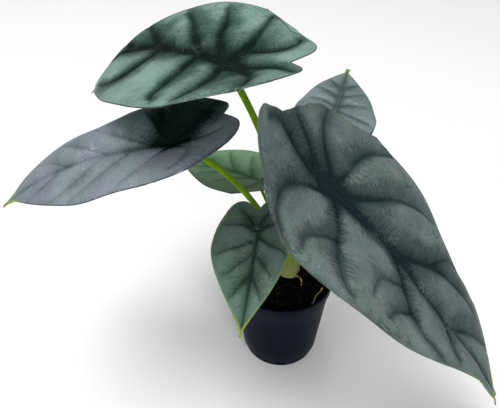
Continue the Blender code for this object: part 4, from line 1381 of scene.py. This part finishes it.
def pot_material():
    pot = settings("alocasia_pot")
    graph = Graph("pot_plastic")
    orange_peel = graph.noise(700.0, 2.0)
    smears = graph.noise(45.0, 4.0, 0.62, stretch=(1.0, 1.0, 0.35))
    height = graph.height()
    dusty = graph.rise(smears, 0.52, 0.80) * 0.45
    low = 1.0 - graph.rise(height, 0.0, 14 * MM)
    specks = graph.rise(graph.noise(1400.0, 2.0), 0.68, 0.76)
    colour = graph.mix(dusty + low * 0.15, pot.colour, pot.dust)
    colour = graph.mix(specks * 0.30, colour, pot.dust)
    return graph.finish(base_color=colour, roughness=0.34 + smears * 0.22 + specks * 0.2,
                        specular_ior_level=0.05,
                        normal=graph.bump(orange_peel, 0.05 * MM, 0.6))


# ---- soil -------------------------------------------------------------------------------
# Lumps of the soil: their height, how many lie in a metre, and which layer of noise they use.
SOIL_LUMPS = ((0.9 * MM, 160, 1.7), (0.5 * MM, 520, 4.2))
SOIL_RINGS = np.linspace(0.985, 0.02, 54)       # rings of the soil's top, of its radius
SOIL_SKIN = 0.1 * MM                            # corners this near the top are lifted
STEM_ROOM = 1.05                                # loose bits keep this many stem radii away
# Loose bits on the soil: how many, their largest size, the seed of their places, how flat they
# lie and how far out they lie, as a share of the soil's radius.
CRUMBS = dict(seed=5, flatness=0.75, reach_share=0.97)
PERLITE = dict(count=9, size=1.7 * MM, seed=23, flatness=0.9, reach_share=0.9)
PERLITE_COLOURS = (0.20, 0.20, 0.18), (0.34, 0.34, 0.31)
BARK = dict(count=26, size=6.5 * MM, seed=31, flatness=0.35, reach_share=0.86)
BARK_COLOURS = (0.010, 0.0065, 0.0045), (0.030, 0.020, 0.014)
RIM_ROOM = 2.2 * MM                             # loose bits keep this far off the wall
FIBRE_ROOM, FIBRE_SEED = 4 * MM, 11
FIBRE_MARKS, FIBRE_SIDES = 7, 4                 # marks along a fibre and sides round it
FIBRE_REACH, FIBRE_BEND = (2.5, 8.0), 0.7       # half length in millimetres, and bend in radians
FIBRE_RADIUS = (0.10, 0.22)                     # in millimetres


def soil_lift(x, y):
    """Height of the lumpy soil surface over its plain level."""
    return sum(height * noise.noise(Vector((x * scale, y * scale, layer)))
               for height, scale, layer in SOIL_LUMPS)


def make_soil(material):
    inner = wall_at(SOIL_TOP) - settings("alocasia_pot").wall - 0.15 * MM
    low, heel, waist = SOIL_LOW[2], 8 * MM, 30 * MM
    foot = wall_at(heel) - 3.4 * MM
    profile = [(0.5 * MM, low), (foot, low), (foot, heel), (wall_at(waist) - 1.6 * MM, waist),
               (inner, SOIL_TOP - 0.2 * MM)]
    profile += [(inner * share, SOIL_TOP) for share in SOIL_RINGS]
    piece = close_openings(turned(profile, sides=150))
    for corner in piece.data.vertices:
        if corner.co.z > SOIL_TOP - SOIL_SKIN:
            corner.co.z += soil_lift(corner.co.x, corner.co.y)
    return keep(piece, "soil_bed", [material], ("soil",))


def scatter(count, reach, seed):
    """Seeded places on the soil, away from the stem."""
    chance = np.random.default_rng(seed)
    places = []
    while len(places) < count:
        angle = chance.uniform(0, math.tau)
        out = reach * math.sqrt(chance.uniform())
        place = (out * math.cos(angle), out * math.sin(angle))
        if math.dist(place, (STEM_X, STEM_Y)) > STEM_RADIUS * STEM_ROOM:
            places.append(place)
    return places, chance


def join(parts):
    deselect()
    for part in parts:
        part.select_set(True)
    bpy.context.view_layer.objects.active = parts[0]
    bpy.ops.object.join()
    return bpy.context.object


def crumb_model():
    deselect()
    bpy.ops.mesh.primitive_ico_sphere_add(subdivisions=1, radius=1.0)
    return bpy.context.object


def strew(name, count, size, seed, flatness, reach_share):
    """Copy one crumb over the soil, each turned, stretched and dented in its own way."""
    inner = wall_at(SOIL_TOP) - RIM_ROOM
    places, chance = scatter(count, inner * reach_share, seed)
    model = crumb_model()
    shape = np.array([corner.co for corner in model.data.vertices])
    faces = [tuple(face.vertices) for face in model.data.polygons]
    corners, links = [], []
    for x, y in places:
        dents = shape * chance.uniform(0.7, 1.3, (len(shape), 1))
        turn, _rest = np.linalg.qr(chance.normal(size=(3, 3)))
        reach = size * chance.uniform(0.25, 1.0) ** 1.6 / 2
        dents = dents @ turn * reach * np.array([1.0, chance.uniform(0.6, 1.0), 1.0])
        dents[:, 2] *= flatness
        lift = soil_lift(x, y) + reach * flatness * 0.35
        start = len(corners) * len(shape)
        links += [tuple(start + corner for corner in face) for face in faces]
        corners.append(dents + np.array([x, y, SOIL_TOP + lift]))
    bpy.data.objects.remove(model, do_unlink=True)
    mesh = bpy.data.meshes.new(name)
    mesh.from_pydata(np.concatenate(corners).tolist(), [], links)
    return put_in_scene(name, mesh)


def fibre_route(x, y, inner, chance):
    """A short fibre that bends over the soil and stays inside the pot."""
    turn = chance.uniform(0, math.tau)
    reach = chance.uniform(*FIBRE_REACH) * MM
    bend = chance.uniform(-FIBRE_BEND, FIBRE_BEND)
    marks = []
    for share in np.linspace(-1, 1, FIBRE_MARKS):
        angle = turn + bend * share
        px, py = x + reach * share * math.cos(angle), y + reach * share * math.sin(angle)
        pull = min(1.0, inner / math.hypot(px, py))
        px, py = px * pull, py * pull
        lift = 0.9 * MM + 0.8 * MM * (1 - share * share) * chance.uniform(0.2, 1.2)
        marks.append((px, py, SOIL_TOP + soil_lift(px, py) + lift))
    return np.array(marks)


def make_fibres(count, material):
    inner = wall_at(SOIL_TOP) - FIBRE_ROOM
    places, chance = scatter(count, inner * 0.9, FIBRE_SEED)
    strands = []
    for x, y in places:
        route = fibre_route(x, y, inner, chance)
        radii = np.full(FIBRE_MARKS, chance.uniform(*FIBRE_RADIUS) * MM)
        strands.append(roll_tube(route, radii, FIBRE_SIDES))
    return keep(join(strands), "soil_fibres", [material])


def soil_material(name, base, dry, bump=0.6):
    graph = Graph(name)
    clumps = graph.noise(320.0, 4.0, 0.65)
    grit = graph.noise(1700.0, 3.0, 0.6)
    colour = graph.mix(graph.rise(clumps, 0.45, 0.72), base, dry)
    colour = graph.mix(graph.rise(grit, 0.6, 0.75) * 0.5, colour, dry)
    return graph.finish(base_color=colour, roughness=0.78 + grit * 0.15,
                        specular_ior_level=0.06,
                        normal=graph.bump(clumps * 0.6 + grit * 0.4, bump * MM, 0.9))


# ---- roots ------------------------------------------------------------------------------
def root_material():
    graph = Graph("root_skin")
    rings = graph.noise(600.0, 3.0, 0.6)
    stain = graph.noise(150.0, 3.0)
    colour = graph.mix(graph.rise(stain, 0.4, 0.65), ROOT_PALE, ROOT_STAIN)
    return graph.finish(base_color=colour, roughness=0.55 + rings * 0.15,
                        normal=graph.bump(rings, 0.15 * MM, 0.8))


def make_stem_root(material):
    share = np.linspace(0, 1, 33)
    angle = np.radians(STEM_ROOT_TURN + STEM_ROOT_BEND * np.sin(np.pi * share))
    out = STEM_RADIUS * 0.9 + STEM_ROOT_REACH * share
    arch = STEM_ROOT_ARCH * np.sin(np.pi * np.clip(share * 1.25, 0, 1)) - STEM_ROOT_DROP * share
    height = SOIL_TOP + STEM_ROOT_HEIGHT + arch
    route = np.stack([STEM_X + out * np.cos(angle), STEM_Y + out * np.sin(angle), height],
                     axis=1)
    radii = STEM_ROOT_RADIUS * (1 - 0.35 * share) * (1 + 0.10 * np.sin(share * 31))
    piece = roll_tube(route, radii, sides=14)
    return keep(piece, "surface_root", [material], ("stem_root",))


def make_rim_root(material):
    wall = wall_at(SOIL_TOP) - RIM_ROOT_INSET
    high, low = (math.radians(angle) for angle in RIM_ROOT_TURNS)
    base = SOIL_TOP + RIM_ROOT_RADIUS + 0.3 * MM
    first = np.array([wall * math.cos(high), wall * math.sin(high), base + RIM_ROOT_RISE])
    last = np.array([wall * math.cos(low), wall * math.sin(low), base])
    share = np.linspace(0, 1, 29)[:, None]
    bow = np.array([0.0, 0.0, 0.8 * MM]) * np.sin(np.pi * share)
    sway = np.array([0.5 * MM, -0.3 * MM, 0.0]) * np.sin(9 * share)
    route = first + (last - first) * share + bow + sway
    share = share[:, 0]
    radii = RIM_ROOT_RADIUS * (1 - 0.25 * share) * (1 + 0.12 * np.sin(share * 27))
    piece = roll_tube(route, radii, sides=12)
    return keep(piece, "dry_root", [material], ("rim_root",))


# ---- stage ------------------------------------------------------------------------------
CAMERA_PLACE = (-0.0295, -0.356, 0.452)
CAMERA_TILT = math.radians(51.7)                # up from straight down
CAMERA_SENSOR = 36.0                            # width in millimetres
AIM = (0.0, 0.0, 0.15)                          # the lights face the plant's middle
KEY_PLACE, KEY_SIZE = (-0.6, 0.1, 2.8), 2.0
FILL_PLACE, FILL_SIZE = (0.3, -1.5, 0.9), 1.3


def add_area_light(name, place, size, power):
    light = bpy.data.lights.new(name, "AREA")
    light.shape = "DISK"
    light.size = size
    light.energy = power
    lamp = put_in_scene(name, light)
    lamp.location = place
    lamp.rotation_euler = (Vector(AIM) - Vector(place)).to_track_quat("-Z", "Y").to_euler()


def make_floor(colour):
    deselect()
    bpy.ops.mesh.primitive_plane_add(size=6.0, location=(0.0, 0.0, 0.0))
    floor = bpy.context.object
    floor.name = "floor"
    graph = Graph("floor_paper")
    tooth = graph.noise(600.0, 2.0)
    shade = tuple(0.985 * channel for channel in colour)
    floor.data.materials.append(graph.finish(
        base_color=graph.mix(tooth, shade, colour), roughness=0.9, specular_ior_level=0.1))


def make_camera(lens):
    camera = put_in_scene("camera", bpy.data.cameras.new("camera"))
    camera.data.lens = lens
    camera.data.sensor_width = CAMERA_SENSOR
    camera.data.clip_start = 0.01
    camera.location = CAMERA_PLACE
    camera.rotation_euler = (CAMERA_TILT, 0.0, 0.0)
    bpy.context.scene.camera = camera


def make_sky(strength):
    world = bpy.data.worlds.new("sky")
    world.use_nodes = True
    background = world.node_tree.nodes["Background"]
    background.inputs["Color"].default_value = (1.0, 1.0, 1.0, 1.0)
    background.inputs["Strength"].default_value = strength
    bpy.context.scene.world = world


# ---- operators --------------------------------------------------------------------------
class ALOCASIA_OT_stage(bpy.types.Operator):
    """Add the floor, the studio lights and the camera"""
    bl_idname = "alocasia.stage"
    bl_label = "Stage"

    def execute(self, context):
        stage = settings("alocasia_stage")
        make_floor(stage.floor)
        make_sky(stage.sky)
        add_area_light("key_light", KEY_PLACE, KEY_SIZE, stage.key)
        add_area_light("fill_light", FILL_PLACE, FILL_SIZE, stage.fill)
        make_camera(stage.lens)
        context.scene.view_settings.view_transform = "Standard"
        return {"FINISHED"}


class ALOCASIA_OT_blades(bpy.types.Operator):
    """Build the six veined leaf blades"""
    bl_idname = "alocasia.blades"
    bl_label = "Leaf blades"

    def execute(self, context):
        for node in LEAVES:
            make_blade(node)
        return {"FINISHED"}


class ALOCASIA_OT_stalks(bpy.types.Operator):
    """Grow a stalk from the stem to each blade"""
    bl_idname = "alocasia.stalks"
    bl_label = "Stalks"

    def execute(self, context):
        for name, stalk in STALKS.items():
            make_stalk(name, stalk)
        return {"FINISHED"}


class ALOCASIA_OT_stem(bpy.types.Operator):
    """Build the stem base and the sheaths that wrap it"""
    bl_idname = "alocasia.stem"
    bl_label = "Stem base"

    def execute(self, context):
        material = stem_material()
        make_stem_core(material)
        for name, (stalk, foot, reach, opening) in SHEATHS.items():
            make_sheath(name, STALKS[stalk], foot, reach, opening, material)
        return {"FINISHED"}


class ALOCASIA_OT_soil(bpy.types.Operator):
    """Fill the pot with lumpy soil, crumbs, fibres, perlite and bark"""
    bl_idname = "alocasia.soil"
    bl_label = "Soil"

    def execute(self, context):
        soil = settings("alocasia_soil")
        damp = soil_material("soil_damp", soil.colour, soil.crumb_colour)
        make_soil(damp)
        crumbs = strew("crumbs", soil.crumbs, soil.crumb, **CRUMBS)
        keep(crumbs, "soil_crumbs", [damp])
        brown_fibre = soil_material("fibre", soil.fibre_colour, soil.crumb_colour, bump=0.1)
        make_fibres(soil.fibres, brown_fibre)
        white = soil_material("perlite", *PERLITE_COLOURS, bump=0.3)
        grains = strew("grains", **PERLITE)
        keep(grains, "perlite_grains", [white], ("perlite_grain",))
        brown = soil_material("bark", *BARK_COLOURS, bump=0.4)
        chips = strew("chips", **BARK)
        keep(chips, "bark_chips", [brown], ("bark_chip",))
        return {"FINISHED"}


class ALOCASIA_OT_roots(bpy.types.Operator):
    """Lay the two roots that show on the soil"""
    bl_idname = "alocasia.roots"
    bl_label = "Roots"

    def execute(self, context):
        material = root_material()
        make_stem_root(material)
        make_rim_root(material)
        return {"FINISHED"}


class ALOCASIA_OT_pot(bpy.types.Operator):
    """Mould the thin pot with its rim band and drainage slots"""
    bl_idname = "alocasia.pot"
    bl_label = "Pot"

    def execute(self, context):
        make_pot()
        return {"FINISHED"}


class ALOCASIA_PT_panel(bpy.types.Panel):
    """Sizes, colours and buttons of the potted alocasia"""
    bl_idname = "ALOCASIA_PT_panel"
    bl_label = "Potted alocasia"
    bl_space_type = "VIEW_3D"
    bl_region_type = "UI"
    bl_category = "Alocasia"

    def draw(self, context):
        for operator, group in BUTTONS:
            box = self.layout.box()
            box.operator(operator.bl_idname)
            if group:
                values = settings(group)
                for name in values.__annotations__:
                    box.prop(values, name)


GROUPS = {
    "alocasia_stage": AlocasiaStage,
    "alocasia_pot": AlocasiaPot,
    "alocasia_soil": AlocasiaSoil,
    "alocasia_stem": AlocasiaStem,
    "alocasia_stalks": AlocasiaStalks,
    "alocasia_blades": AlocasiaBlades,
}
BUTTONS = [
    (ALOCASIA_OT_stage, "alocasia_stage"),
    (ALOCASIA_OT_pot, "alocasia_pot"),
    (ALOCASIA_OT_soil, "alocasia_soil"),
    (ALOCASIA_OT_roots, None),
    (ALOCASIA_OT_stem, "alocasia_stem"),
    (ALOCASIA_OT_stalks, "alocasia_stalks"),
    (ALOCASIA_OT_blades, "alocasia_blades"),
]
CLASSES = [*GROUPS.values(), *(operator for operator, _group in BUTTONS), ALOCASIA_PT_panel]


def register():
    for item in CLASSES:
        bpy.utils.register_class(item)
    for name, group in GROUPS.items():
        setattr(bpy.types.Scene, name, bpy.props.PointerProperty(type=group))


def unregister():
    for name in GROUPS:
        delattr(bpy.types.Scene, name)
    for item in reversed(CLASSES):
        bpy.utils.unregister_class(item)


def main():
    register()
    bpy.ops.alocasia.stage()
    bpy.ops.alocasia.pot()
    bpy.ops.alocasia.soil()
    bpy.ops.alocasia.roots()
    bpy.ops.alocasia.stem()
    bpy.ops.alocasia.stalks()
    bpy.ops.alocasia.blades()


if __name__ == "__main__":
    main()
